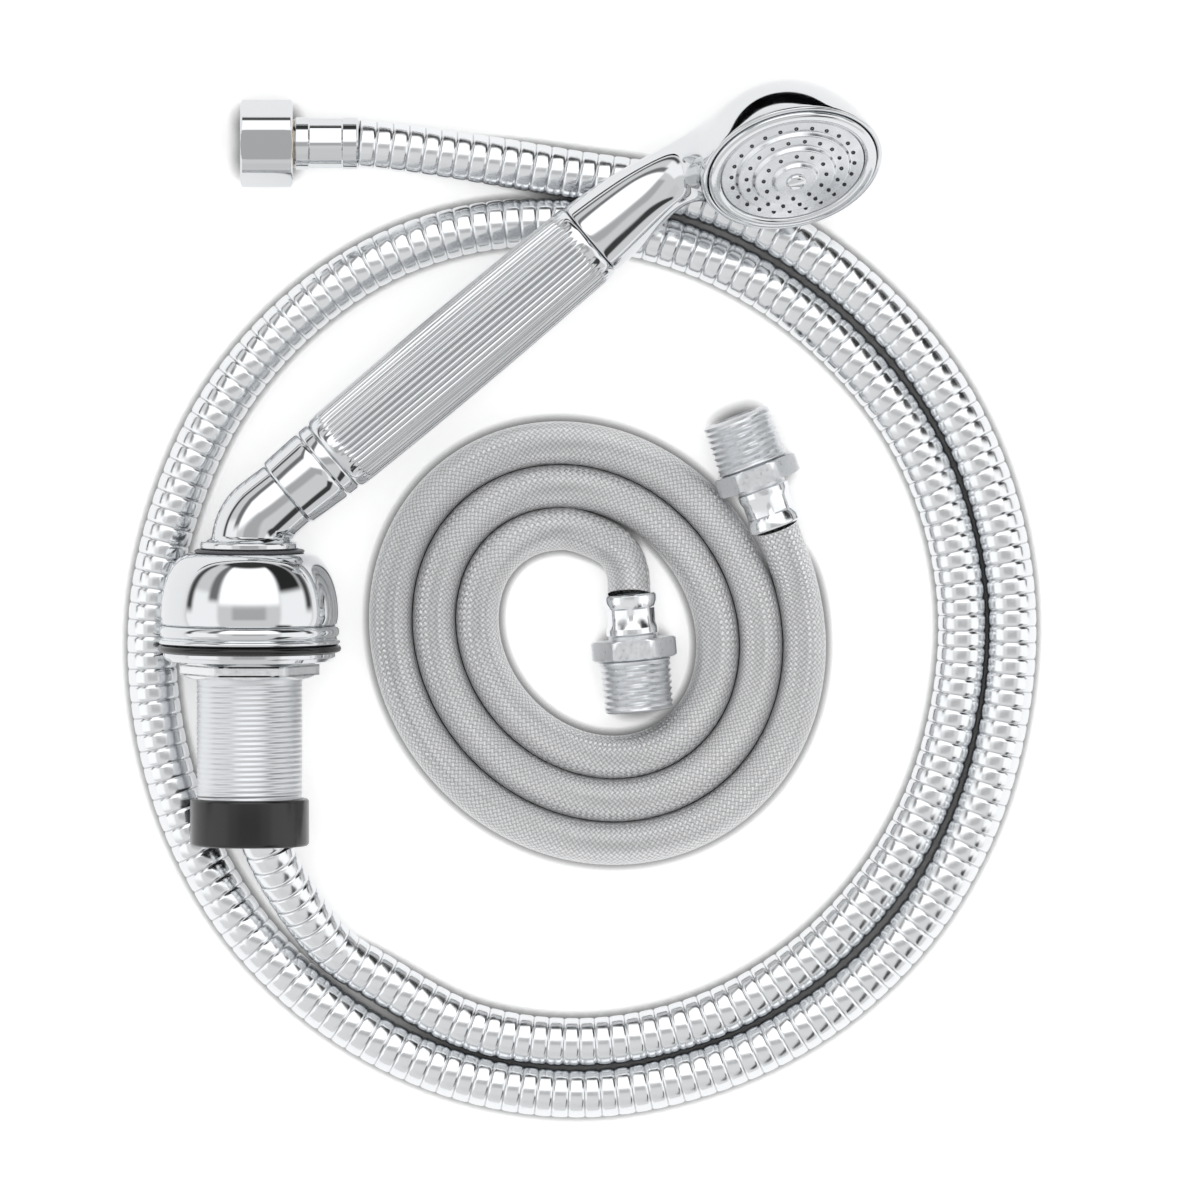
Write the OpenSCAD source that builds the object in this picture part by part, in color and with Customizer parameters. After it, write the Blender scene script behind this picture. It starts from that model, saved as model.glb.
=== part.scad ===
// Deck-mounted hand shower kit, laid out flat on a surface.
// The deck mount lies on the edge of its gasket, with the shank along Y and the
// hand shower seated in the elbow, up and to the right. The shower hose leaves the
// shank, makes one and three quarter rounds and ends in a loose nut. The braided
// supply hose lies coiled inside that ring.
// Millimetres. The origin is on the shank's axis at the gasket's underside.

/* [Deck mount] */
// Radius of the rubber gasket, on whose edge the assembly lies
gasket_r = 27; // [26.8:0.1:28]
// Thickness of the rubber gasket
gasket_t = 4; // [2:0.2:5]
// Radius of the base ring above the gasket
ring_r = 26.5; // [26:0.1:27]
// Height of the base ring
ring_h = 4; // [3.6:0.2:7]
// Radius of the dome at its foot
dome_r = 26.2; // [25:0.1:26.8]
// Height of the dome above the base ring
dome_h = 21.2; // [19:0.2:26]
// Radius at which the dome's flat top turns into its side
dome_top_r = 17; // [16.8:0.2:20]
// Wall of the dome
dome_wall = 1.6; // [1.2:0.1:2.2]
// Radius of the friction washer between the dome and the elbow
friction_r = 16.2; // [15:0.1:17]
// Thickness of the friction washer
friction_t = 1; // [0.6:0.1:2]

/* [Shank] */
// Outside radius of the threaded shank
shank_r = 15.6; // [15.2:0.1:16.5]
// Radius of the passage through the shank
shank_bore_r = 13.2; // [13:0.1:13.6]
// Length of the shank below the gasket
shank_len = 50; // [44:1:60]
// Radius of the shank's collar inside the dome
collar_r = 20; // [18:0.5:22]
// Thickness of that collar
collar_t = 2.6; // [2:0.2:4]
// Length of the bearing at the shank's upper end
bearing_len = 10; // [8:0.5:12]
// Radius of the clamp washer
washer_r = 25.4; // [24:0.1:25.4]
// Thickness of the clamp washer
washer_t = 2.6; // [1.6:0.1:3.6]
// Lock nut, across flats
lock_nut_af = 36.2; // [35:0.2:38]
// Thickness of the lock nut
lock_nut_t = 5; // [4:0.5:8]
// Radius of the hose guide on the shank's lower end
guide_r = 17.5; // [17:0.1:18]
// Length of the hose guide
guide_len = 14; // [12:1:16]
// How far the hose guide overlaps the shank
guide_lap = 7; // [5:1:9]
// Radius of the hose guide's mouth
guide_mouth_r = 15; // [14.8:0.1:15.4]

/* [Elbow] */
// Angle between the shank and the hand shower
lean = 50; // [45:1:52]
// Height at which their axes cross, above the elbow's flange
cross_h = 6.9; // [6.6:0.1:8]
// Radius of the elbow's flange
flange_r = 14.4; // [13.5:0.1:15.5]
// Thickness of the elbow's flange
flange_t = 2.2; // [1.6:0.1:3]
// Outside radius of the elbow's tube
elbow_r = 11.2; // [10.8:0.1:11.2]
// Radius of the elbow's centreline
elbow_bend = 11.5; // [11.4:0.1:12]
// Radius of the passage through the elbow
elbow_bore_r = 8.6; // [8:0.1:9]
// Radius of the elbow at its mouth
mouth_r = 10.8; // [10.6:0.1:11.1]
// Distance of the mouth from the crossing of the axes
mouth_s = 14.6; // [14:0.2:17]
// Depth of the socket in the mouth
socket_depth = 7; // [6:0.2:7.4]
// Radius of the elbow's spigot in the shank
spigot_r = 11.9; // [11.6:0.1:12.4]
// Length of that spigot below the flange
spigot_len = 16; // [15:0.5:18]
// Radius of the passage through the spigot
spigot_bore_r = 9.3; // [9:0.1:9.5]
// Wall of the plastic liner in the socket
liner_t = 0.7; // [0.5:0.1:0.9]

/* [Shower hose] */
// Outside radius of the shower hose
hose_r = 7.2; // [6.8:0.1:7.3]
// Wall of the shower hose
hose_wall = 2; // [1.5:0.1:2.5]
// Radius of the smooth nut at the hand shower, where it meets the elbow
nut_low_r = 11.5; // [11.2:0.1:11.8]
// Radius of the same nut where it meets the hand shower
nut_high_r = 12.05; // [11.9:0.05:12.4]
// Length of that nut above its seat
nut_len = 13.2; // [12.6:0.2:16]
// Radius of the hand shower's inlet thread in the nut
inlet_r = 10.2; // [9.8:0.1:10.4]
// Depth of the thread in the nut
inlet_depth = 9.6; // [9:0.2:11]
// Thickness of the flange on the hose's nipple
nipple_flange_t = 1.5; // [1:0.1:2]
// Thickness of the sealing washers
seal_t = 1.5; // [1:0.1:2]
// Radius of the ferrule on the hose's free end
ferrule_r = 7.75; // [7.6:0.05:8.4]
// Length of that ferrule outside the end nut
ferrule_len = 19; // [16:0.5:24]
// End nut, across flats
end_nut_af = 24; // [22:0.5:26]
// Length of the end nut
end_nut_len = 15.5; // [14:0.5:18]
// Radius of the thread in the end nut
end_thread_r = 9.4; // [9:0.1:9.8]
// Thickness of the end nut's back wall
end_wall = 4; // [3:0.5:5]

/* [Handle] */
// Length of the ring between the nut and the grip
ring_len = 3.9; // [3:0.1:6]
// Length of the fluted grip
grip_len = 98.4; // [94:0.2:104]
// Radius of the grip at its ends
grip_end_r = 12.4; // [12.2:0.1:12.5]
// How much thicker the grip is halfway
grip_belly = 0.6; // [0:0.1:1]
// Plain length at each end of the grip
grip_cuff = 3.2; // [2:0.2:6]
// Number of ribs round the grip
rib_count = 44; // [30:1:44]
// Depth of the grooves between the ribs
rib_depth = 0.55; // [0.3:0.05:0.7]
// Wall between the grip's bore and the foot of its grooves
grip_wall = 1; // [0.8:0.1:1.4]
// Radius of the water tube inside the grip
tube_r = 6.4; // [5.5:0.1:7]
// Wall of the water tube
tube_wall = 1.3; // [1:0.1:1.6]
// Length of the plugs that close the grip
plug_len = 9; // [7:0.5:12]

/* [Head] */
// Length of the neck along the handle, from the grip to the level of the face's centre
neck_len = 59.5; // [56:0.5:66]
// Distance of the face's centre from that axis, on the spray side
head_offset = 29.7; // [28:0.1:32]
// Angle between the handle's axis and the direction of the spray
spray_angle = 108.5; // [104:0.5:112]
// Height of the spray side above the surface the handle lies along
roll = 44; // [40:1:56]
// Radius of the head's round back
head_r = 27; // [26.4:0.1:28]
// Wall of the head and the neck
head_wall = 1.8; // [1.4:0.1:2.2]
// Radius of the bezel round the face
bezel_r = 25.1; // [24.4:0.1:25.1]
// Width of the bezel
bezel_w = 3.6; // [3:0.1:4.4]
// Height of each step of the spray plate, from its edge inwards
step_h = 1.5; // [1:0.1:1.6]
// Thickness of the spray plate at its edge
plate_t = 2.2; // [1.8:0.1:3]
// Radius of the spray holes
jet_r = 0.55; // [0.4:0.05:0.7]
// Radius of the screw in the middle of the face
screw_r = 2.6; // [2:0.1:3]

/* [Supply hose] */
// Outside radius of the braided hose
supply_r = 6.3; // [5.8:0.1:6.3]
// Wall of the braided hose
supply_wall = 1.6; // [1.2:0.1:2]
// Radius of the crimped ferrules at their waist
crimp_r = 7.2; // [7:0.1:7.4]
// Length of the crimped ferrules
crimp_len = 12.3; // [11:0.1:14]
// Hexagon of the end fittings, across flats
supply_hex_af = 22; // [21.6:0.2:23]
// Length of that hexagon
supply_hex_len = 5.8; // [5:0.2:8]
// Radius of the tapered thread next to the hexagon
taper_r = 10.6; // [10.2:0.1:10.8]
// Length of the tapered thread
taper_len = 15.6; // [14:0.2:16]

/* [Clearances] */
// Running clearance of bearings and threads
run_gap = 0.06; // [0.03:0.01:0.1]
// Clearance round pieces that are pushed in and stay there
slip_gap = 0.1; // [0.05:0.01:0.2]
// Clearance round the shank and the hoses
free_gap = 0.3; // [0.2:0.05:0.4]

/* [Hidden] */

$fn = 96;
cord_sides = 8;
sixth = 60;

// Heights along the shank's axis, from the gasket's underside
dome_y = gasket_t + ring_h;
dome_top_y = dome_y + dome_h;
flange_y = dome_top_y + friction_t + slip_gap;
axis_y = flange_y + cross_h;
shank_top_y = dome_top_y - dome_wall - slip_gap;
bearing_y = shank_top_y - bearing_len;
clip_t = 1.1;
clip_y = bearing_y - clip_t - 2 * slip_gap;
seal_y = bearing_y + bearing_len / 2;
seal_ring = 0.62;
guide_y = guide_lap - shank_len;
bend_y = axis_y - elbow_bend * tan(lean / 2);

// Places along the hand shower's axis, from the crossing of the axes
seat_s = mouth_s + slip_gap;
nut_end_s = seat_s + nut_len;
thread_s = nut_end_s - inlet_depth;
nipple_s = thread_s + nipple_flange_t;
inlet_s = nipple_s + seal_t;
grip_s = nut_end_s + free_gap + ring_len;
grip_end_s = grip_s + grip_len;
head_reach = grip_end_s + neck_len;
liner_s = mouth_s - socket_depth;
sleeve_r = mouth_r - 1.1 - slip_gap;
nut_sleeve_r = sleeve_r - liner_t - slip_gap;
nut_sleeve_len = socket_depth - free_gap;
hose_bend = 16;
hose_turn_s = hose_bend * tan(lean / 2);
hose_bore_r = hose_r - hose_wall;
nipple_bore_r = 3.8;

// Inside of the handle
grip_bore_r = grip_end_r - rib_depth - grip_wall;
plug_r = grip_bore_r - slip_gap;
tube_s = grip_s + plug_len - 6;
tube_end_s = grip_end_s - 1;

// Neck and back of the head: for each section the point on the spray side and the point on the
// back, as x and distance from the grip's end. They are drawn for a face whose near and far edges
// lie 35.9 and 87.1 past the grip and whose centre is 29.7 out, and follow the face from there
loft_sides = 44;
drawn_near = 35.9;
drawn_far = 87.1;
drawn_out = 29.7;
face_lift = head_r * cos(spray_angle - 90);
spray_fit = (neck_len - face_lift) / drawn_near;
back_fit = (neck_len + face_lift) / drawn_far;
face_shift = head_offset - drawn_out;
neck_spans = [[12.05, 0, -12.05, 0], [11.8, 6, -11.75, 6], [11, 13.4, -11.1, 13], [10.2, 20.5, -9.9, 21.5],
              [9.8, 26.3, -7.9, 29.3], [10.3, 30.4, -5.3, 38], [11.8, 33.4, -2.4, 48], [14, 35.2, 0.5, 58.3],
              [16.3, 36.1, 3.7, 68.3], [18, 36.3, 7.6, 76.3], [19.4, 36.1, 14.2, 82.9],
              [20.3, 35.8, 22.7, 86.9], [20.8, 35.5, 30.6, 87.8]];
screw_shank_r = 1.5;

// Steps of the spray plate: radius inside which each one rises, and the rings of holes
plate_r = bezel_r - bezel_w - slip_gap;
terraces = [plate_r, 0.78 * plate_r, 0.56 * plate_r, 0.3 * plate_r];
jet_rings = [[0.86 * plate_r, 24], [0.665 * plate_r, 18], [0.44 * plate_r, 12]];
rim_h = 1.6;
face_depth = 4.6;
seat_film = 0.05;

// Free end of the shower hose, as distances from the end of the hose
nut_back = ferrule_len + free_gap;
neck_r = ferrule_r - 0.6;
stem_z = nut_back + end_wall + 0.2;
seal_z = stem_z + seal_t;
relief_end_z = seal_z + seal_t + 0.2;

// Route of the shower hose: x, y, and height of its middle above the surface. After the lead out
// of the shank it goes round by radii about a centre, one for every fifteen degrees
floor_z = -gasket_r;
round_centre = [98.5, 11.5];
round_start = 240;
round_step = 15;
round_radii = [124.1, 127.4, 127.4, 125.6, 122.6, 119.1, 115.6, 112.6, 111, 109.7, 108.8, 108.2, 109.1, 110.9,
               113.5, 116.8, 119.4, 121, 122.5, 124, 127, 129.9, 133.5, 137.2, 140, 142, 142.4, 140.3, 137.9,
               134.7, 130.9, 127.4, 125.6, 124.4, 123.8, 123.5, 124.4, 126.2];
hose_lie = hose_r;
hose_lead = [[0, -26, gasket_r], [1, -42, 26], [5, -57, 23.5], [12.5, -71.5, 17], [23.5, -86.7, 10.3]];
hose_tail = [[92, 140.2, hose_lie], [62, 145.2, 9.5], [32, 149, end_nut_af / 2]];
hose_route = concat(hose_lead,
                    [for (i = [0:len(round_radii) - 1])
                        let (a = round_start + i * round_step, low = i == 0 ? 0.8 : 0)
                        [round_centre[0] + round_radii[i] * cos(a), round_centre[1] + round_radii[i] * sin(a),
                         hose_lie + low]],
                    hose_tail);

// Supply hose: place and heading of each fitting, and the coil between them
inner_end = [111.5, 16.4, supply_hex_af / 2];
inner_heading = -85;
outer_end = [154.9, 36.1, supply_hex_af / 2];
outer_heading = 110.5;
coil_centre = [99, 4.9];
coil_tilt = 130;
coil_long = 29.4;
coil_short = 23.2;
coil_pitch = 12.8;
coil_from = 90;
coil_to = 1095;
coil_step = 15;
coil_low = supply_r + 0.1;
coil_in = [[111, 23, 9], [107, 30, coil_low + 0.8]];

chrome_colour = "#e2e4e6";
steel_colour = "#b9bcbf";
brass_colour = "#c9ae74";
rubber_colour = "#1d1d1f";
nylon_colour = "#8c8e92";
plate_colour = "#d3d6da";

// ---- Helpers ----

function unit(v) = v / norm(v);
function run(path, i) = unit(path[min(i + 1, len(path) - 1)] - path[max(i - 1, 0)]);
function heading(a) = [cos(a), sin(a), 0];

// Ring of a tube round point c, square to direction t, flat side up
function ring_of(c, t, r, sides) =
    let (side = unit(cross(t, [0, 0, 1])), top = cross(side, t))
    [for (k = [0:sides - 1]) let (a = 360 * (k + 0.5) / sides) c + r * (cos(a) * side + sin(a) * top)];

// Skin over a list of rings, closed from the last ring back to the first
module ring_loop(rings) {
    n = len(rings[0]);
    m = len(rings);
    polyhedron(
        points = [for (r = rings) each r],
        faces = [for (i = [0:m - 1], k = [0:n - 1])
            let (a = i * n, b = (i + 1) % m * n, j = (k + 1) % n) each
            [[a + k, a + j, b + j], [a + k, b + j, b + k]]]);
}

// Skin over a list of rings, with a flat cap on the first and the last
module ring_stack(rings) {
    n = len(rings[0]);
    m = len(rings);
    polyhedron(
        points = [for (r = rings) each r],
        faces = [
            [for (k = [0:n - 1]) n - 1 - k],
            for (i = [0:m - 2], k = [0:n - 1])
                let (a = i * n, b = a + n, j = (k + 1) % n) each
                [[a + k, a + j, b + j], [a + k, b + j, b + k]],
            [for (k = [0:n - 1]) (m - 1) * n + k]]);
}

// Hollow cord along a path whose ends leave squarely in the two directions given
module cord(path, start, end, r, wall) {
    last = len(path) - 1;
    dirs = [for (i = [0:last]) i == 0 ? start : i == last ? end : run(path, i)];
    outer = [for (i = [0:last]) ring_of(path[i], dirs[i], r, cord_sides)];
    inner = [for (i = [last:-1:0]) ring_of(path[i], dirs[i], r - wall, cord_sides)];
    ring_loop(concat(outer, inner));
}

// Tube with its length along z
module pipe(r, bore, z0, z1) {
    difference() {
        translate([0, 0, z0]) cylinder(r = r, h = z1 - z0);
        translate([0, 0, z0 - 1]) cylinder(r = bore, h = z1 - z0 + 2);
    }
}

// Outline points of a quarter ellipse, from angle a0 to a1
function arc_of(c, rx, ry, a0, a1, n = 8) =
    [for (i = [0:n]) let (a = a0 + (a1 - a0) * i / n) [c[0] + rx * cos(a), c[1] + ry * sin(a)]];

// Hexagon with its corners turned to radius r and chamfered at both ends
module hex_bar(af, r, z0, z1, chamfer) {
    intersection() {
        translate([0, 0, z0 - 1]) cylinder(r = af / 2 / cos(30), h = z1 - z0 + 2, $fn = 6);
        rotate_extrude()
            polygon([[0, z0], [r - chamfer, z0], [r, z0 + chamfer * 0.6],
                     [r, z1 - chamfer * 0.6], [r - chamfer, z1], [0, z1]]);
    }
}

// Frames: z along the shank; z along the hand shower; the same, rolled to the spray side
module on_shank() { rotate([-90, 0, 0]) children(); }
module on_lean() { translate([0, axis_y, 0]) rotate([0, 0, -lean]) rotate([-90, 0, 0]) children(); }
module on_shower() { on_lean() rotate([0, 0, -roll]) children(); }
module on_face() { on_shower() translate([head_offset, 0, head_reach]) rotate([0, spray_angle, 0]) children(); }
module at_end() { translate([32, 149, floor_z + end_nut_af / 2]) rotate([0, -90, 0]) children(); }
module at_fitting(p, a) { translate([p[0], p[1], floor_z + p[2]]) rotate([0, 90, a]) children(); }

// ---- Deck mount ----

module threaded_shank() {
    color(steel_colour) on_shank() difference() {
        union() {
            translate([0, 0, -shank_len]) cylinder(r = shank_r, h = shank_len + shank_top_y);
            translate([0, 0, dome_y]) cylinder(r = collar_r, h = collar_t);
        }
        translate([0, 0, -shank_len - 1]) cylinder(r = shank_bore_r, h = shank_len + bearing_y + 1);
        translate([0, 0, bearing_y - 1]) cylinder(r = spigot_r + run_gap, h = bearing_len + 2);
    }
}

module deck_gasket() {
    edge = gasket_t / 2;
    color(rubber_colour) on_shank() rotate_extrude()
        polygon(concat([[shank_r + free_gap, 0]],
                       arc_of([gasket_r - edge, edge], edge, edge, -90, 90),
                       [[shank_r + free_gap, gasket_t]]));
}

module base_ring() {
    edge = ring_h / 2;
    color(chrome_colour) on_shank() rotate_extrude()
        polygon(concat([[shank_r + slip_gap, gasket_t]],
                       arc_of([ring_r - edge / 2, gasket_t + edge], edge / 2, edge, -90, 90),
                       [[shank_r + slip_gap, dome_y]]));
}

function dome_outline(inset) =
    let (low = 0.16 * dome_h)
    concat([[dome_r - 0.3 - inset, 0], [dome_r - inset, low]],
           arc_of([dome_top_r, low], dome_r - dome_top_r - inset, dome_h - low - inset, 5, 90, 14));

module dome() {
    color(chrome_colour) on_shank() translate([0, 0, dome_y]) difference() {
        rotate_extrude() polygon(concat([[0, 0]], dome_outline(0), [[0, dome_h]]));
        rotate_extrude() polygon(concat([[0, -0.01]], dome_outline(dome_wall), [[0, dome_h - dome_wall]]));
        cylinder(r = spigot_r + free_gap, h = dome_h + 1);
    }
}

module friction_washer() {
    color(nylon_colour) on_shank() pipe(friction_r, spigot_r + free_gap, dome_top_y, dome_top_y + friction_t);
}

module clamp_washer() {
    bevel = washer_t / 2;
    color(chrome_colour) on_shank() rotate_extrude()
        polygon([[shank_r + free_gap, -washer_t], [washer_r - bevel, -washer_t], [washer_r, -bevel],
                 [washer_r, 0], [shank_r + free_gap, 0]]);
}

module lock_nut() {
    color(steel_colour) on_shank() difference() {
        hex_bar(lock_nut_af, 0.568 * lock_nut_af, -washer_t - lock_nut_t, -washer_t, 1.4);
        translate([0, 0, -washer_t - lock_nut_t - 1]) cylinder(r = shank_r + run_gap, h = lock_nut_t + 2);
    }
}

module hose_guide() {
    edge = 0.9;
    low = guide_y - guide_len;
    color(rubber_colour) on_shank() rotate_extrude()
        polygon(concat([[guide_mouth_r, low]],
                       arc_of([guide_r - edge, low + edge], edge, edge, -90, 0, 4),
                       arc_of([guide_r - edge, guide_y - edge], edge, edge, 0, 90, 4),
                       [[shank_r + slip_gap, guide_y], [shank_r + slip_gap, -shank_len],
                        [guide_mouth_r, -shank_len]]));
}

module shank_hose() {
    color(steel_colour) on_shank() pipe(hose_r, hose_bore_r, hose_route[0][1], axis_y - hose_turn_s);
}

// ---- Elbow ----

// Bend of the elbow, as a bar of radius r on a centreline of radius bend
module elbow_bar(r, bend) {
    translate([bend, axis_y - bend * tan(lean / 2), 0]) rotate([0, 0, 180 - lean])
        rotate_extrude(angle = lean) translate([bend, 0]) circle(r = r);
}

module swivel_elbow() {
    turn_s = elbow_bend * tan(lean / 2);
    groove = 1.3;
    fillet = 3;
    color(chrome_colour) difference() {
        union() {
            on_shank() {
                translate([0, 0, flange_y - spigot_len]) cylinder(r = spigot_r, h = spigot_len + 0.5);
                rotate_extrude()
                    polygon(concat([[0, flange_y], [flange_r - 0.3, flange_y], [flange_r, flange_y + 0.3],
                                    [flange_r, flange_y + flange_t - 0.5], [flange_r - 0.5, flange_y + flange_t]],
                                   arc_of([elbow_r + fillet - 0.5, flange_y + flange_t + fillet - 0.4],
                                          fillet, fillet - 0.4, 270, 200, 5),
                                   [[0, flange_y + flange_t + fillet - 1.4]]));
            }
            elbow_bar(elbow_r, elbow_bend);
            on_lean() translate([0, 0, turn_s]) cylinder(r1 = elbow_r - 0.03, r2 = mouth_r, h = mouth_s - turn_s);
        }
        elbow_bar(elbow_bore_r, elbow_bend);
        on_lean() translate([0, 0, turn_s - 0.05]) cylinder(r = elbow_bore_r + 0.1, h = mouth_s);
        on_lean() translate([0, 0, liner_s]) cylinder(r = sleeve_r + slip_gap, h = socket_depth + 1);
        on_shank() {
            translate([0, 0, bend_y - 3]) cylinder(r = elbow_bore_r + 0.1, h = 3.05);
            translate([0, 0, flange_y - spigot_len - 1]) cylinder(r = spigot_bore_r, h = spigot_len + 1);
            pipe(spigot_r + 1, spigot_r - groove, clip_y, clip_y + clip_t + slip_gap);
            pipe(spigot_r + 1, spigot_r - groove, seal_y - seal_ring, seal_y + seal_ring);
        }
    }
}

module swivel_seal() {
    color(rubber_colour) on_shank() translate([0, 0, seal_y])
        rotate_extrude() translate([spigot_r - seal_ring, 0]) circle(r = seal_ring - 0.02, $fn = 24);
}

module swivel_clip() {
    color(steel_colour) on_shank() difference() {
        pipe(shank_bore_r - free_gap / 2, spigot_r - 1.3 + slip_gap / 2, clip_y + slip_gap / 2,
             clip_y + slip_gap / 2 + clip_t);
        translate([0, -2, clip_y - 1]) cube([shank_bore_r, 4, clip_t + 2]);
    }
}

module socket_liner() {
    color(nylon_colour) on_lean() pipe(sleeve_r, sleeve_r - liner_t, liner_s, mouth_s);
}

module elbow_hose() {
    color(steel_colour) difference() {
        elbow_bar(hose_r, hose_bend);
        elbow_bar(hose_bore_r, hose_bend);
    }
}

// ---- Hand shower end of the hose ----

module hose_nut() {
    edge = 0.4;
    tip = seat_s - nut_sleeve_len;
    color(chrome_colour) on_lean() difference() {
        rotate_extrude()
            polygon([[0, tip], [nut_sleeve_r - edge, tip], [nut_sleeve_r, tip + edge], [nut_sleeve_r, seat_s],
                     [nut_low_r - edge, seat_s], [nut_low_r, seat_s + edge],
                     [nut_high_r, nut_end_s - edge], [nut_high_r - edge, nut_end_s], [0, nut_end_s]]);
        translate([0, 0, tip - 1]) cylinder(r = hose_r + free_gap, h = nut_len + nut_sleeve_len + 2);
        translate([0, 0, thread_s]) cylinder(r = inlet_r + run_gap, h = inlet_depth + 1);
    }
}

module hose_nipple() {
    stem = 7;
    color(brass_colour) on_lean() difference() {
        union() {
            translate([0, 0, thread_s - stem]) cylinder(r = hose_bore_r - slip_gap, h = stem + 1);
            translate([0, 0, thread_s]) cylinder(r = inlet_r - free_gap, h = nipple_flange_t);
        }
        translate([0, 0, thread_s - stem - 1]) cylinder(r = nipple_bore_r, h = stem + nipple_flange_t + 2);
    }
}

module nipple_seal() {
    color(rubber_colour) on_lean() pipe(inlet_r - free_gap, nipple_bore_r + 1.2, nipple_s, inlet_s);
}

module socket_hose() {
    color(steel_colour) on_lean() pipe(hose_r, hose_bore_r, hose_turn_s, thread_s);
}

// ---- Handle ----

module inlet_spigot() {
    pocket = 3;
    color(brass_colour) on_shower() difference() {
        union() {
            translate([0, 0, inlet_s]) cylinder(r = inlet_r, h = nut_end_s + free_gap - inlet_s);
            translate([0, 0, nut_end_s + free_gap]) cylinder(r = plug_r, h = ring_len + plug_len);
        }
        translate([0, 0, inlet_s - 1]) cylinder(r = tube_r - tube_wall, h = tube_s - inlet_s + 2);
        translate([0, 0, inlet_s - 1]) cylinder(r = tube_r + slip_gap, h = pocket + 1);
        translate([0, 0, tube_s]) cylinder(r = tube_r + slip_gap, h = plug_len + 10);
    }
}

module flow_restrictor() {
    color(nylon_colour) on_shower() difference() {
        translate([0, 0, inlet_s]) cylinder(r = tube_r, h = 2.6);
        for (a = [0:sixth:359])
            rotate([0, 0, a]) translate([3.2, 0, inlet_s - 1]) cylinder(r = 1.1, h = 5);
    }
}

module handle_ring() {
    edge = 0.8;
    z0 = nut_end_s + free_gap;
    z1 = grip_s;
    color(chrome_colour) on_shower() rotate_extrude()
        polygon(concat([[plug_r + slip_gap, z0]],
                       arc_of([nut_high_r - edge, z0 + edge], edge, edge, -90, 0, 4),
                       arc_of([nut_high_r - edge, z1 - edge], edge, edge, 0, 90, 4),
                       [[plug_r + slip_gap, z1]]));
}

// Radius of the grip's ribs at height z above its foot
function grip_radius(z) =
    let (end = min(z, grip_len - z), x = 2 * z / grip_len - 1)
    grip_end_r + grip_belly * (1 - x * x) - (end < 1.5 ? 0.5 * pow(1 - end / 1.5, 2) * 1.6 : 0);

// Depth of the grooves at height z, running out at the cuffs
function groove_depth(z) =
    let (end = min(z, grip_len - z))
    end < grip_cuff ? 0 : rib_depth * min(1, (end - grip_cuff) / 2);

// One ring of the grip: four points to a rib, two on its crown and two in the groove
function grip_ring(z) =
    [for (i = [0:rib_count - 1], k = [0:3])
        let (a = 360 * (i + [0.12, 0.44, 0.62, 0.94][k]) / rib_count,
             r = grip_radius(z) - (k > 1 ? groove_depth(z) : 0))
        [r * cos(a), r * sin(a), grip_s + z]];

module grip() {
    mid = grip_len / 2;
    half = [0, 0.6, 1.5, grip_cuff, grip_cuff + 2, 0.27 * grip_len];
    heights = concat(half, [mid], [for (i = [len(half) - 1:-1:0]) grip_len - half[i]]);
    color(chrome_colour) on_shower() difference() {
        ring_stack([for (z = heights) grip_ring(z)]);
        translate([0, 0, grip_s - 1]) cylinder(r = grip_bore_r, h = grip_len + 2);
    }
}

module water_tube() {
    color(nylon_colour) on_shower() pipe(tube_r, tube_r - tube_wall, tube_s, tube_end_s);
}

module tube_seal(s) {
    color(rubber_colour) on_shower() pipe(plug_r, tube_r + slip_gap, s, s + seal_t);
}

module tube_seal_low() { tube_seal(grip_s + plug_len); }
module tube_seal_high() { tube_seal(grip_end_s - plug_len - seal_t); }

// ---- Head ----

// Point on the face's rim circle of radius r, t in front of the face's middle, in the handle's x-z plane
function face_point(r, t, a) =
    [head_offset + r * sin(a + spray_angle - 90) + t * sin(spray_angle),
     head_reach + r * cos(a + spray_angle - 90) + t * cos(spray_angle)];

// The same two points of a section, moved towards each other by the wall
function inside(span, wall) =
    let (across = unit(span[1] - span[0]))
    [span[0] + wall * across, span[1] - wall * across];

// Ring with the points a and b of the x-z plane opposite each other
function span_ring(a, b) =
    let (middle = (a + b) / 2, across = unit(b - a), r = norm(b - a) / 2)
    [for (k = [0:loft_sides - 1]) let (t = 360 * k / loft_sides)
        [middle[0] + r * cos(t) * across[0], r * sin(t), middle[1] + r * cos(t) * across[1]]];

function level_ring(r, s) = span_ring([r, s], [-r, s]);
function face_ring(r, t) = span_ring(face_point(-r, t, 0), face_point(r, t, 0));

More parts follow.
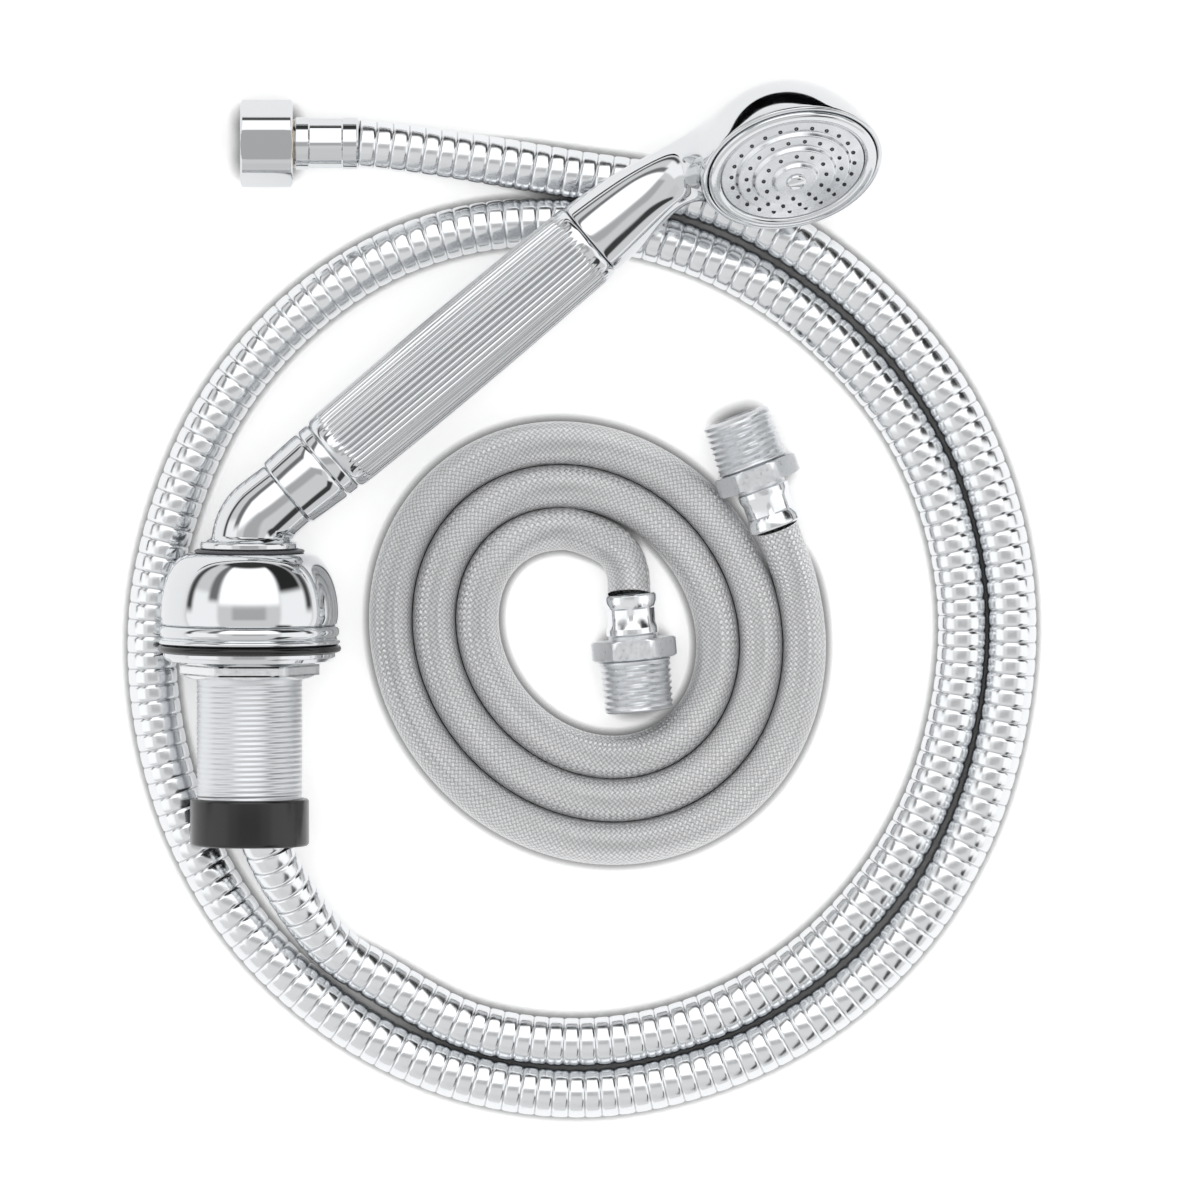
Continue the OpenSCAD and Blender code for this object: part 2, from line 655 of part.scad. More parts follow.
module head_shell() {
    spans = [for (p = neck_spans)
        [[p[0] + face_shift * p[1] / drawn_near, grip_end_s + spray_fit * p[1]],
         [p[2] + face_shift * p[3] / drawn_far, grip_end_s + back_fit * p[3]]]];
    root_z = grip_end_s - plug_len;
    outer = concat([level_ring(plug_r, root_z), level_ring(plug_r, grip_end_s)],
                   [for (p = spans) span_ring(p[0], p[1])], [face_ring(head_r, 0)]);
    seat_t = -face_depth - seal_t - seat_film;
    seat = [face_ring(bezel_r + slip_gap, 0), face_ring(bezel_r + slip_gap, seat_t),
            face_ring(bezel_r - 1.8, seat_t), face_ring(bezel_r - 1.8, seat_t - head_wall)];
    // behind the seat the hollow's spray side runs straight to the throat, and its back follows the shell
    throat = 7;
    hollows = [for (p = spans) inside(p, head_wall)];
    near_seat = face_point(1.8 - bezel_r, seat_t - head_wall, 0);
    inner = [for (i = [len(spans) - 3:-1:1])
        let (part = min(1, (len(spans) - 2 - i) / (len(spans) - 2 - throat)))
        span_ring(i > throat ? near_seat + part * (hollows[throat][0] - near_seat) : hollows[i][0], hollows[i][1])];
    foot = [level_ring(grip_bore_r - head_wall, grip_end_s + head_wall),
            level_ring(tube_r - tube_wall, grip_end_s + head_wall), level_ring(tube_r - tube_wall, grip_end_s),
            level_ring(tube_r + slip_gap, grip_end_s), level_ring(tube_r + slip_gap, root_z)];
    color(chrome_colour) on_shower() difference() {
        union() {
            ring_loop(concat(outer, seat, inner, foot));
            post();
        }
        post_bore();
    }
}

// Post that takes the screw in the middle of the face
module post() {
    translate([head_offset, 0, head_reach]) rotate([0, spray_angle, 0])
        translate([0, 0, 1 - head_r]) cylinder(r = screw_r + 1.2, h = head_r - 1 - face_depth - seat_film);
}

module post_bore() {
    translate([head_offset, 0, head_reach]) rotate([0, spray_angle, 0])
        translate([0, 0, -face_depth - 9]) cylinder(r = screw_shank_r + run_gap, h = 12);
}

module face_bezel() {
    edge = 1;
    inner = bezel_r - bezel_w;
    color(chrome_colour) on_face() rotate_extrude()
        polygon(concat([[inner, -face_depth + plate_t], [bezel_r, -face_depth + plate_t]],
                       arc_of([bezel_r - edge, rim_h - edge], edge, edge, 0, 90, 5),
                       arc_of([inner + edge, rim_h - edge], edge, edge, 90, 180, 5)));
}

// Outline of the stepped spray plate: each terrace rises step_h with a small slope
function plate_outline() =
    concat([[0, 0], [bezel_r - slip_gap, 0], [bezel_r - slip_gap, plate_t], [plate_r, plate_t]],
           [for (i = [0:len(terraces) - 1]) each
               let (z = face_depth + rim_h - 0.6 + (i == 0 ? 0 : i * step_h), slope = i == 0 ? 0 : 0.5)
               [[terraces[i], z - (i == 0 ? 0 : step_h)], [terraces[i] - slope, z]]],
           [[0, face_depth + rim_h - 0.6 + (len(terraces) - 1) * step_h]]);

module spray_plate() {
    hollow = plate_r - 1.6;
    color(plate_colour) on_face() translate([0, 0, -face_depth]) difference() {
        rotate_extrude() polygon(plate_outline());
        difference() {
            translate([0, 0, -1]) cylinder(r1 = hollow + 1.2, r2 = hollow, h = 1 + plate_t + 1.2);
            translate([0, 0, -2]) cylinder(r = screw_r + 2, h = plate_t + 10);
        }
        for (ring = jet_rings, i = [0:ring[1] - 1])
            rotate([0, 0, 360 * i / ring[1]]) translate([ring[0], 0, -1]) cylinder(r = jet_r, h = 20, $fn = 16);
        translate([0, 0, -1]) cylinder(r = screw_shank_r + slip_gap, h = 20);
    }
}

module diffuser() {
    t = 1.4;
    color(nylon_colour) on_face() translate([0, 0, -face_depth + 0.8]) difference() {
        cylinder(r = plate_r - 2.4, h = t);
        translate([0, 0, -1]) cylinder(r = screw_r + 2 + slip_gap, h = t + 2);
        for (a = [0:sixth / 2:359])
            rotate([0, 0, a]) translate([13, 0, -1]) cylinder(r = 1.5, h = t + 2);
    }
}

module face_seal() {
    color(rubber_colour) on_face() pipe(bezel_r - slip_gap, bezel_r - 2.6, -face_depth - seal_t, -face_depth);
}

module face_screw() {
    top = rim_h - 0.6 + (len(terraces) - 1) * step_h;
    color(chrome_colour) on_face() {
        translate([0, 0, -face_depth - 8]) cylinder(r = screw_shank_r, h = face_depth + 8 + top);
        translate([0, 0, top]) cylinder(r1 = screw_r, r2 = screw_r - 0.5, h = 0.9);
    }
}

// ---- Shower hose and its free end ----

module metal_hose() {
    path = [for (p = hose_route) [p[0], p[1], floor_z + p[2]]];
    color(steel_colour) cord(path, [0, -1, 0], [-1, 0, 0], hose_r, hose_wall);
}

module end_ferrule() {
    edge = 0.5;
    color(chrome_colour) at_end() difference() {
        rotate_extrude()
            polygon([[0, 0], [ferrule_r - edge, 0], [ferrule_r, edge], [ferrule_r, ferrule_len - edge],
                     [ferrule_r - edge, ferrule_len], [0, ferrule_len]]);
        translate([0, 0, -1]) cylinder(r = 5, h = ferrule_len + 2);
    }
}

module end_stem() {
    color(brass_colour) at_end() difference() {
        union() {
            translate([0, 0, 2]) cylinder(r = 5 - slip_gap, h = ferrule_len);
            translate([0, 0, ferrule_len]) cylinder(r = neck_r, h = seal_z - ferrule_len);
            translate([0, 0, stem_z]) cylinder(r = end_thread_r - free_gap, h = seal_t);
        }
        cylinder(r = nipple_bore_r, h = ferrule_len + end_nut_len);
    }
}

module end_seal() {
    color(rubber_colour) at_end() pipe(end_thread_r - free_gap, nipple_bore_r + 1.2, seal_z, seal_z + seal_t);
}

module end_nut() {
    color(chrome_colour) at_end() difference() {
        rotate([0, 0, 30]) hex_bar(end_nut_af, 0.54 * end_nut_af, nut_back, nut_back + end_nut_len, 1);
        translate([0, 0, nut_back - 1]) cylinder(r = neck_r + run_gap, h = end_wall + 2);
        translate([0, 0, nut_back + end_wall]) cylinder(r = end_thread_r + 0.5, h = relief_end_z - nut_back - end_wall);
        translate([0, 0, relief_end_z - 1]) cylinder(r = end_thread_r, h = end_nut_len);
    }
}

// ---- Supply hose ----

module supply_hose() {
    turn = [for (a = [coil_from:coil_step:coil_to])
        let (grow = coil_pitch * a / 360, u = a - coil_tilt,
             x = (coil_long + grow) * cos(u), y = (coil_short + grow) * sin(u))
        [coil_centre[0] + x * cos(coil_tilt) - y * sin(coil_tilt),
         coil_centre[1] + x * sin(coil_tilt) + y * cos(coil_tilt), coil_low]];
    route = concat([inner_end], coil_in, turn, [outer_end]);
    path = [for (p = route) [p[0], p[1], floor_z + p[2]]];
    color(steel_colour) cord(path, -heading(inner_heading), heading(outer_heading), supply_r, supply_wall);
}

module crimp() {
    flare = 0.8;
    color(steel_colour) difference() {
        rotate_extrude()
            polygon([[0, 0], [crimp_r + flare, 0], [crimp_r + flare, 2.4], [crimp_r, 4.2],
                     [crimp_r, crimp_len - 3.6], [crimp_r + 0.5, crimp_len - 2.2],
                     [crimp_r + 0.5, crimp_len - 0.5], [crimp_r, crimp_len], [0, crimp_len]]);
        translate([0, 0, -1]) cylinder(r = supply_r - supply_wall, h = crimp_len + 2);
    }
}

module fitting() {
    hex_z = crimp_len + 1;
    thread_z = hex_z + supply_hex_len;
    end_z = thread_z + taper_len;
    bore = 3;
    color(steel_colour) difference() {
        union() {
            translate([0, 0, 1]) cylinder(r = supply_r - supply_wall - slip_gap, h = crimp_len);
            translate([0, 0, crimp_len]) cylinder(r = crimp_r, h = 1.5);
            rotate([0, 0, 30]) hex_bar(supply_hex_af, 0.568 * supply_hex_af, hex_z, thread_z, 0.8);
            translate([0, 0, thread_z - 0.5]) cylinder(r = taper_r - 0.9, h = 1.6);
            translate([0, 0, thread_z + 1]) cylinder(r1 = taper_r, r2 = taper_r - taper_len / 32, h = taper_len - 1.8);
            translate([0, 0, end_z - 0.8])
                cylinder(r1 = taper_r - taper_len / 32, r2 = taper_r - taper_len / 32 - 0.7, h = 0.8);
        }
        cylinder(r = bore, h = end_z + 1);
        translate([0, 0, hex_z + 3]) cylinder(r = 6.6, h = end_z);
    }
}

module inner_ferrule() { at_fitting(inner_end, inner_heading) crimp(); }
module inner_fitting() { at_fitting(inner_end, inner_heading) fitting(); }
module outer_ferrule() { at_fitting(outer_end, outer_heading) crimp(); }
module outer_fitting() { at_fitting(outer_end, outer_heading) fitting(); }

threaded_shank();
deck_gasket();
base_ring();
dome();
friction_washer();
hose_guide();
shank_hose();
clamp_washer();
lock_nut();
swivel_elbow();
swivel_seal();
swivel_clip();
socket_liner();
elbow_hose();
hose_nut();
hose_nipple();
nipple_seal();
socket_hose();
inlet_spigot();
flow_restrictor();
handle_ring();
grip();
water_tube();
tube_seal_low();
tube_seal_high();
head_shell();
face_bezel();
spray_plate();
diffuser();
face_seal();
face_screw();
metal_hose();
end_ferrule();
end_stem();
end_seal();
end_nut();
supply_hose();
inner_ferrule();
inner_fitting();
outer_ferrule();
outer_fitting();
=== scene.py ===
import bpy
import bmesh
import math
from mathutils import Matrix, Vector


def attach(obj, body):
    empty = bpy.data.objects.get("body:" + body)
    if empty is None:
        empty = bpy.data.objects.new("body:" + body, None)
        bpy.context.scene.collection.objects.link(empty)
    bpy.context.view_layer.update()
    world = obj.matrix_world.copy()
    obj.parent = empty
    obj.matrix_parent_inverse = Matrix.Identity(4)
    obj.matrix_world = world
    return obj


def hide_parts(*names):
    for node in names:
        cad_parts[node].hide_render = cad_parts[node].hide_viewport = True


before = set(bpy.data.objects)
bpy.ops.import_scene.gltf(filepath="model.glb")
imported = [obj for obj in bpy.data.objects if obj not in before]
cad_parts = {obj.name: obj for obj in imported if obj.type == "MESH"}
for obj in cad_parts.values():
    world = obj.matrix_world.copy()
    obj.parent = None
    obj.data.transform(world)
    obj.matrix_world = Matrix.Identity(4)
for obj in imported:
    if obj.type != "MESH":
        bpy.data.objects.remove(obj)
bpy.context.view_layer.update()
print("frame loaded")

# Lengths are in millimetres, and become metres in finishPiece, in metres and in the materials.
# The origin is on the shank's axis at the gasket's underside, as in the part's source.
layout = {
    "floorZ": -27.0,
    "axisY": 37.2,  # where the shank's axis and the hand shower's axis cross
    "lean": 50.0,  # of the hand shower from the shank's axis
    "roll": 44.0,  # of the hand shower about its own axis
    "headReach": 190.0,  # centre of the face: along the hand shower, and beside its axis
    "headOffset": 29.7,
    "sprayAngle": 108.5,  # of the face's axis from the hand shower's
    "hoseEnd": (32.0, 149.0, 12.0),  # x, y and height over the floor, here and for the fittings
    "innerEnd": (111.5, 16.4, 11.0),
    "innerHeading": -85.0,
    "outerEnd": (154.9, 36.1, 11.0),
    "outerHeading": 110.5,
}


def move(x, y, z):
    return Matrix.Translation((x, y, z))


def turn(angle, axis):
    return Matrix.Rotation(math.radians(angle), 4, axis)


def overFloor(x, y, height):
    return x, y, layout["floorZ"] + height


def atFitting(end, heading):  # local z along the heading
    return move(*overFloor(*end)) @ turn(heading, "Z") @ turn(90, "Y")


onShank = turn(-90, "X")  # local z along +Y
onLean = move(0, layout["axisY"], 0) @ turn(-layout["lean"], "Z") @ onShank  # local z along the hand shower
onShower = onLean @ turn(-layout["roll"], "Z")  # local x towards the spray side
onFace = onShower @ move(layout["headOffset"], 0, layout["headReach"]) @ turn(layout["sprayAngle"], "Y")
atHoseEnd = move(*overFloor(*layout["hoseEnd"])) @ turn(-90, "Y")
atInner = atFitting(layout["innerEnd"], layout["innerHeading"])
atOuter = atFitting(layout["outerEnd"], layout["outerHeading"])

view = {"lookAt": (102.94, 14.74, -13.0), "width": 352.9, "tilt": 2.5, "lens": 1000.0, "sensor": 36.0}


def makeCamera(s):
    data = bpy.data.cameras.new("camera")
    data.lens = s["lens"]
    data.sensor_width = s["sensor"]
    data.clip_start = 0.1
    data.clip_end = 20
    camera = bpy.data.objects.new("camera", data)
    bpy.context.collection.objects.link(camera)
    bpy.context.scene.camera = camera
    distance = s["width"] / s["sensor"] * s["lens"]
    tilt = math.radians(s["tilt"])
    back = Vector((0, math.sin(tilt), math.cos(tilt)))
    camera.location = (Vector(s["lookAt"]) + back * distance) / 1000
    camera.rotation_euler = (-tilt, 0, 0)


makeCamera(view)


def linear(hexColour):
    parts = [int(hexColour[i:i + 2], 16) / 255 for i in (1, 3, 5)]
    return [c / 12.92 if c <= 0.04045 else ((c + 0.055) / 1.055) ** 2.4 for c in parts] + [1]


def addNode(tree, kind, inputs=None, **settings):
    node = tree.nodes.new(kind)
    for key, value in settings.items():
        setattr(node, key, value)
    for key, value in (inputs or {}).items():
        if isinstance(value, bpy.types.NodeSocket):
            tree.links.new(value, node.inputs[key])
        else:
            node.inputs[key].default_value = value
    return node


def emptyMaterial(name):
    material = bpy.data.materials.new(name)
    material.use_nodes = True
    material.node_tree.nodes.clear()
    return material, material.node_tree


def startMaterial(name, settings):
    material, tree = emptyMaterial(name)
    shader = addNode(tree, "ShaderNodeBsdfPrincipled", settings)
    addNode(tree, "ShaderNodeOutputMaterial", {"Surface": shader.outputs[0]})
    return material, tree, shader


# how each kind of surface varies: the span of noise that counts, the shares of the roughness that it gives,
# and the depth of the relief in millimetres
polishing = {"noise": (0.3, 0.7), "shares": (0.7, 1.4), "relief": 0.2}
turning = {"noise": (0.3, 0.7), "shares": (0.75, 1.35), "relief": 0.1}
moulding = {"noise": (0.0, 1.0), "shares": (0.8, 1.2), "relief": 0.2}


def varySurface(tree, shader, s, roughness, gloss, height, strength):
    spread = addNode(tree, "ShaderNodeMapRange", {
        "Value": gloss, "From Min": s["noise"][0], "From Max": s["noise"][1],
        "To Min": roughness * s["shares"][0], "To Max": roughness * s["shares"][1]})
    tree.links.new(spread.outputs["Result"], shader.inputs["Roughness"])
    bump = addNode(tree, "ShaderNodeBump", {
        "Height": height, "Strength": strength, "Distance": s["relief"] / 1000})
    tree.links.new(bump.outputs["Normal"], shader.inputs["Normal"])


def polishedMetal(name, look):
    # patches of duller polish and slow waves, each with its size in millimetres
    material, tree, shader = startMaterial(name, {
        "Base Color": linear(look["colour"]), "Metallic": 1.0, "Roughness": look["roughness"]})
    place = addNode(tree, "ShaderNodeTexCoord").outputs["Object"]
    cloud = addNode(tree, "ShaderNodeTexNoise", {"Vector": place, "Scale": 1000 / look["patch"], "Detail": 4.0})
    wave = addNode(tree, "ShaderNodeTexNoise", {"Vector": place, "Scale": 1000 / look["wave"], "Detail": 2.0})
    varySurface(tree, shader, polishing, look["roughness"], cloud.outputs["Fac"], wave.outputs["Fac"],
                look["waviness"])
    return material


def turnedMetal(name, look):
    # the grain's size in millimetres along x, y and z: long round the piece where a tool drew it
    material, tree, shader = startMaterial(name, {
        "Base Color": linear(look["colour"]), "Metallic": 1.0, "Roughness": look["roughness"]})
    place = addNode(tree, "ShaderNodeTexCoord").outputs["Object"]
    stretched = addNode(tree, "ShaderNodeMapping", {"Vector": place, "Scale": [1000 / g for g in look["grain"]]})
    lines = addNode(tree, "ShaderNodeTexNoise", {"Vector": stretched.outputs[0], "Scale": 1.0, "Detail": 5.0})
    tint = addNode(tree, "ShaderNodeMix", {
        "Factor": lines.outputs["Fac"], "A": linear(look["shade"]), "B": linear(look["colour"])}, data_type="RGBA")
    tree.links.new(tint.outputs["Result"], shader.inputs["Base Color"])
    varySurface(tree, shader, turning, look["roughness"], lines.outputs["Fac"], lines.outputs["Fac"], look["depth"])
    return material


def mouldedPolymer(name, look):
    # the grit of the mould, with its size in millimetres
    material, tree, shader = startMaterial(name, {
        "Base Color": linear(look["colour"]), "Metallic": 0.0, "Roughness": look["roughness"], "IOR": look["ior"]})
    place = addNode(tree, "ShaderNodeTexCoord").outputs["Object"]
    grit = addNode(tree, "ShaderNodeTexNoise", {"Vector": place, "Scale": 1000 / look["grit"], "Detail": 6.0})
    varySurface(tree, shader, moulding, look["roughness"], grit.outputs["Fac"], grit.outputs["Fac"], look["depth"])
    return material


# Bright chromium on polished brass: a mirror, with the faint waviness that buffing leaves
chromePlate = polishedMetal("chromeOnBrass", {
    "colour": "#d6d8da", "roughness": 0.045, "patch": 9, "wave": 22, "waviness": 0.04})
# Bright chromium on moulded ABS: a slightly softer mirror, with slow ripples from the mould
chromedAbs = polishedMetal("chromeOnAbs", {
    "colour": "#d8dadc", "roughness": 0.06, "patch": 7, "wave": 16, "waviness": 0.05})
# Satin chromium on ABS for the spray plate, which doesn't dazzle
satinAbs = polishedMetal("satinChromeOnAbs", {
    "colour": "#dcdee1", "roughness": 0.24, "patch": 5, "wave": 9, "waviness": 0.05})
# Turned stainless steel: soft lines drawn round the shank by the tool
turnedSteel = turnedMetal("turnedStainlessSteel", {
    "colour": "#e6e8ea", "shade": "#d2d4d7", "roughness": 0.4, "grain": (50 / 3, 5 / 13, 50 / 3), "depth": 0.06})
# Zinc-plated steel of the lock nut: pale, even and half dull
zincSteel = turnedMetal("zincPlatedSteel", {
    "colour": "#f2f3f4", "shade": "#dcdee0", "roughness": 0.36, "grain": (10 / 7, 10 / 7, 10 / 7), "depth": 0.04})
# Tumbled stainless steel of the supply fittings: even, soft grey
tumbledSteel = turnedMetal("tumbledStainlessSteel", {
    "colour": "#eceef0", "shade": "#d4d6d9", "roughness": 0.34, "grain": (10 / 9, 10 / 9, 10 / 9), "depth": 0.08})
# Drawn stainless steel of the crimped sleeves: bright, with the soft marks of the jaws
drawnSteel = polishedMetal("drawnStainlessSteel", {
    "colour": "#eceef0", "roughness": 0.16, "patch": 3, "wave": 4, "waviness": 0.1})
# Pressed stainless strip of the shower hose: bright on the crowns
stripSteel = polishedMetal("pressedStainlessStrip", {
    "colour": "#e6e8ea", "roughness": 0.17, "patch": 3, "wave": 5, "waviness": 0.1})
# The strip's lower lap: painted shade, a greyer colour in the hollows between the links
stripLapShade = polishedMetal("stripLowerLapShade", {
    "colour": "#c6c8cb", "roughness": 0.2, "patch": 3, "wave": 4, "waviness": 0.1})
# Plain cast brass of the hidden inlet pieces: yellow and slightly rough
castBrass = turnedMetal("castBrass", {
    "colour": "#d8b878", "shade": "#b08f52", "roughness": 0.28, "grain": (2, 2, 2), "depth": 0.15})
# EPDM gasket: black and smooth, so that its rounded edge catches a thin highlight
blackRubber = mouldedPolymer("epdmRubber", {
    "colour": "#0e0e10", "roughness": 0.2, "ior": 1.52, "grit": 0.5, "depth": 0.04})
# Moulded ABS of the hose guide: black with a clear gloss
blackAbs = mouldedPolymer("blackAbs", {
    "colour": "#131315", "roughness": 0.22, "ior": 1.54, "grit": 1.2, "depth": 0.06})
# Acetal of the friction washer and the liners: grey, waxy
greyAcetal = mouldedPolymer("greyAcetal", {
    "colour": "#55575b", "roughness": 0.38, "ior": 1.48, "grit": 0.8, "depth": 0.08})
# Dark elastomer of the spray tips: dull and soft to the eye
tipElastomer = mouldedPolymer("sprayTipElastomer", {
    "colour": "#2a2b2e", "roughness": 0.5, "ior": 1.45, "grit": 0.4, "depth": 0.1})
print("materials made")


def spinFull(bm, geometry, axis, steps):
    bmesh.ops.spin(bm, geom=geometry, cent=(0, 0, 0), axis=axis, dvec=(0, 0, 0),
                   angle=math.tau, steps=steps, use_merge=True, use_duplicate=False)
    bmesh.ops.remove_doubles(bm, verts=bm.verts, dist=0.001)
    bmesh.ops.recalc_face_normals(bm, faces=bm.faces)


def lathe(profile, steps=96):
    # a closed profile of (radius, height) is spun round z
    bm = bmesh.new()
    verts = [bm.verts.new((r, 0, z)) for r, z in profile]
    edges = [bm.edges.new(pair) for pair in zip(verts, verts[1:] + verts[:1])]
    spinFull(bm, verts + edges, (0, 0, 1), steps)
    return bm


def arc(centre, rx, ry, start, stop, steps):
    angles = [math.radians(start + (stop - start) * i / steps) for i in range(steps + 1)]
    return [(centre[0] + rx * math.cos(a), centre[1] + ry * math.sin(a)) for a in angles]


def edgesOf(verts):
    return list(dict.fromkeys(e for v in verts for e in v.link_edges))


def vertsOf(edges):
    return list(dict.fromkeys(v for e in edges for v in e.verts))


def pushRing(bm, edges, by=(0, 0, 0)):
    # an open ring grows a wall, and its new edges come back
    made = bmesh.ops.extrude_edge_only(bm, edges=edges)["geom"]
    bmesh.ops.translate(bm, vec=by, verts=[g for g in made if isinstance(g, bmesh.types.BMVert)])
    return [g for g in made if isinstance(g, bmesh.types.BMEdge)]


def setRadius(v, radius):
    now = math.hypot(v.co.x, v.co.y)
    v.co.x *= radius / now
    v.co.y *= radius / now


def pressFlats(bm, count, across, low, high, turnBy=0.0):
    # between two heights, what stands out of a regular outline of that width across its flats is moved in to it
    each = 360 / count
    for v in bm.verts:
        if low <= v.co.z <= high:
            a = (math.degrees(math.atan2(v.co.y, v.co.x)) - turnBy) % each - each / 2
            limit = across / 2 / math.cos(math.radians(a))
            if math.hypot(v.co.x, v.co.y) > limit:
                setRadius(v, limit)


def cutThread(bm, pitch, depth, low, high, core):
    # a V thread: the fine rings of a turned bar move inwards, further out than the core
    for v in bm.verts:
        r = math.hypot(v.co.x, v.co.y)
        if low < v.co.z < high and r > core:
            phase = (v.co.z / pitch - math.atan2(v.co.y, v.co.x) / math.tau) % 1
            fade = min(1, (v.co.z - low) / pitch, (high - v.co.z) / pitch)
            setRadius(v, r - depth * fade * abs(2 * phase - 1))


def finishPiece(name, bm, place, material, body, nodes=(), sharp=35, bevel=0.0, subdivide=0):
    # the bmesh becomes an object at the origin, in metres, which rides on a body and stands for CAD nodes
    bm.transform(Matrix.Scale(0.001, 4) @ place)
    mesh = bpy.data.meshes.new(name)
    bm.to_mesh(mesh)
    bm.free()
    piece = bpy.data.objects.new(name, mesh)
    bpy.context.collection.objects.link(piece)
    for m in material if isinstance(material, list) else [material]:
        mesh.materials.append(m)
    mesh.shade_smooth()
    if not subdivide:
        mesh.set_sharp_from_angle(angle=math.radians(sharp))
    if bevel:
        edge = piece.modifiers.new("edge", "BEVEL")
        edge.width = bevel / 1000
        edge.segments = 2
        edge.limit_method = "ANGLE"
        edge.angle_limit = math.radians(sharp)
        edge.harden_normals = True
    if subdivide:
        smooth = piece.modifiers.new("smooth", "SUBSURF")
        smooth.levels = subdivide
        smooth.render_levels = subdivide
    if body:
        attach(piece, body)
    if nodes:
        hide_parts(*nodes)
    return piece


def turned(name, profile, material, body, node, place=onShank, steps=96, bevel=0.0):
    finishPiece(name, lathe(profile, steps), place, material, body, [node], sharp=32, bevel=bevel)


def runningLengths(line):
    gone = [0.0]
    for a, b in zip(line, line[1:]):
        gone.append(gone[-1] + (b - a).length)
    return gone


def smoothLine(points, first, last, spacing):
    # even points on a Catmull-Rom curve through the route, leaving in the direction first and ending in last
    fine = 40  # steps between two points of the route
    route = [Vector(p) for p in points]
    ends = [route[0] - Vector(first) * (route[1] - route[0]).length] + route
    ends.append(route[-1] + Vector(last) * (route[-1] - route[-2]).length)
    dense = []
    for i in range(1, len(ends) - 2):
        a, b, c, d = ends[i - 1:i + 3]
        for k in range(fine):
            t = k / fine
            dense.append(0.5 * (2 * b + (c - a) * t + (2 * a - 5 * b + 4 * c - d) * t * t
                                + (3 * b - 3 * c + d - a) * t ** 3))
    dense.append(route[-1])
    gone = runningLengths(dense)
    count = round(gone[-1] / spacing)
    line = []
    at = 0
    for i in range(count + 1):
        want = gone[-1] * i / count
        while at < len(gone) - 2 and gone[at + 1] < want:
            at += 1
        part = (want - gone[at]) / max(gone[at + 1] - gone[at], 1e-9)
        line.append(dense[at].lerp(dense[at + 1], min(part, 1)))
    return line


def layAlong(bm, line, long):
    # a straight piece along x is bent to follow the line
    frames = []
    for i, point in enumerate(line):
        along = (line[min(i + 1, len(line) - 1)] - line[max(i - 1, 0)]).normalized()
        side = along.cross(Vector((0, 0, 1))).normalized()
        frames.append((point, side, side.cross(along)))
    step = long / (len(line) - 1)
    for v in bm.verts:
        at = min(max(v.co.x / step, 0), len(line) - 1.0001)
        i, part = int(at), at - int(at)
        point, side, up = (frames[i][k].lerp(frames[i + 1][k], part) for k in range(3))
        v.co = point + side.normalized() * v.co.y + up.normalized() * v.co.z


showerHose = {
    "radius": 7.2,
    "pitch": 4.7,
    "sides": 28,
    "spacing": 2.3,  # of the centre line's points
    "link": [  # one link of the strip: share of the pitch, and how far it lies below the crown
        (0.0, 0.36), (0.05, 0.3), (0.09, 0.12), (0.22, 0.03), (0.5, 0.0), (0.78, 0.03), (0.91, 0.12), (0.95, 0.3)],
    "lap": 0.28,  # what lies deeper than this is the lower lap
    "lead": [(0, -26, 27), (1, -42, 26), (5, -57, 23.5), (12.5, -71.5, 17), (23.5, -86.7, 10.3)],
    "roundCentre": (98.5, 11.5),
    "roundStart": 240,
    "roundStep": 15,
    "roundRadii": [
        124.1, 127.4, 127.4, 125.6, 122.6, 119.1, 115.6, 112.6, 111, 109.7, 108.8, 108.2, 109.1, 110.9,
        113.5, 116.8, 119.4, 121, 122.5, 124, 127, 129.9, 133.5, 137.2, 140, 142, 142.4, 140.3, 137.9,
        134.7, 130.9, 127.4, 125.6, 124.4, 123.8, 123.5, 124.4, 126.2],
    "firstLift": 0.8,  # where the lead comes down to the floor
    "tail": [(92, 140.2, 7.2), (62, 145.2, 9.5), layout["hoseEnd"]],
}


def makeShowerHose(s):
    rounds = []
    for i, r in enumerate(s["roundRadii"]):
        a = math.radians(s["roundStart"] + i * s["roundStep"])
        rounds.append((s["roundCentre"][0] + r * math.cos(a), s["roundCentre"][1] + r * math.sin(a),
                       s["radius"] + (0 if i else s["firstLift"])))
    route = [overFloor(*p) for p in [*s["lead"], *rounds, *s["tail"]]]
    line = smoothLine(route, (0, -1, 0), (-1, 0, 0), s["spacing"])
    long = runningLengths(line)[-1]
    links = round(long / s["pitch"])
    pitch = long / links
    bm = bmesh.new()
    verts = []
    for n in range(links):
        verts += [bm.verts.new(((n + x) * pitch, 0, s["radius"] - down)) for x, down in s["link"]]
    verts.append(bm.verts.new((long, 0, s["radius"] - s["link"][0][1])))
    edges = [bm.edges.new(pair) for pair in zip(verts, verts[1:])]
    spinFull(bm, verts + edges, (1, 0, 0), s["sides"])
    # the deep faces of the lower lap take the painted shade
    for f in bm.faces:
        if all(math.hypot(v.co.y, v.co.z) < s["radius"] - s["lap"] for v in f.verts):
            f.material_index = 1
    layAlong(bm, line, long)
    piece = finishPiece("showerHose", bm, Matrix(), [stripSteel, stripLapShade], "deck_mount", ["metal_hose"],
                        sharp=40)
    return piece, line, long


supplyHose = {
    "radius": 6.3,
    "sides": 32,
    "spacing": 3.0,
    "strand": 0.8,  # width of one bundle of braid wires
    "wires": 3,  # side by side in a bundle
    # colour and shade: painted shading, from the white crown of each bundle to its darker edges
    "colour": "#ffffff",
    "shade": "#a2a4a8",
    "relief": 0.4,
    "coilCentre": (99.0, 4.9),
    "coilTilt": 130,  # the coil is slightly long in this direction
    "coilLong": 29.4,
    "coilShort": 23.2,
    "coilPitch": 12.8,
    "coilAngles": range(90, 1096, 15),
    "coilHeight": 6.4,
    "leadIn": [(111, 23, 9), (107, 30, 7.2)],
}


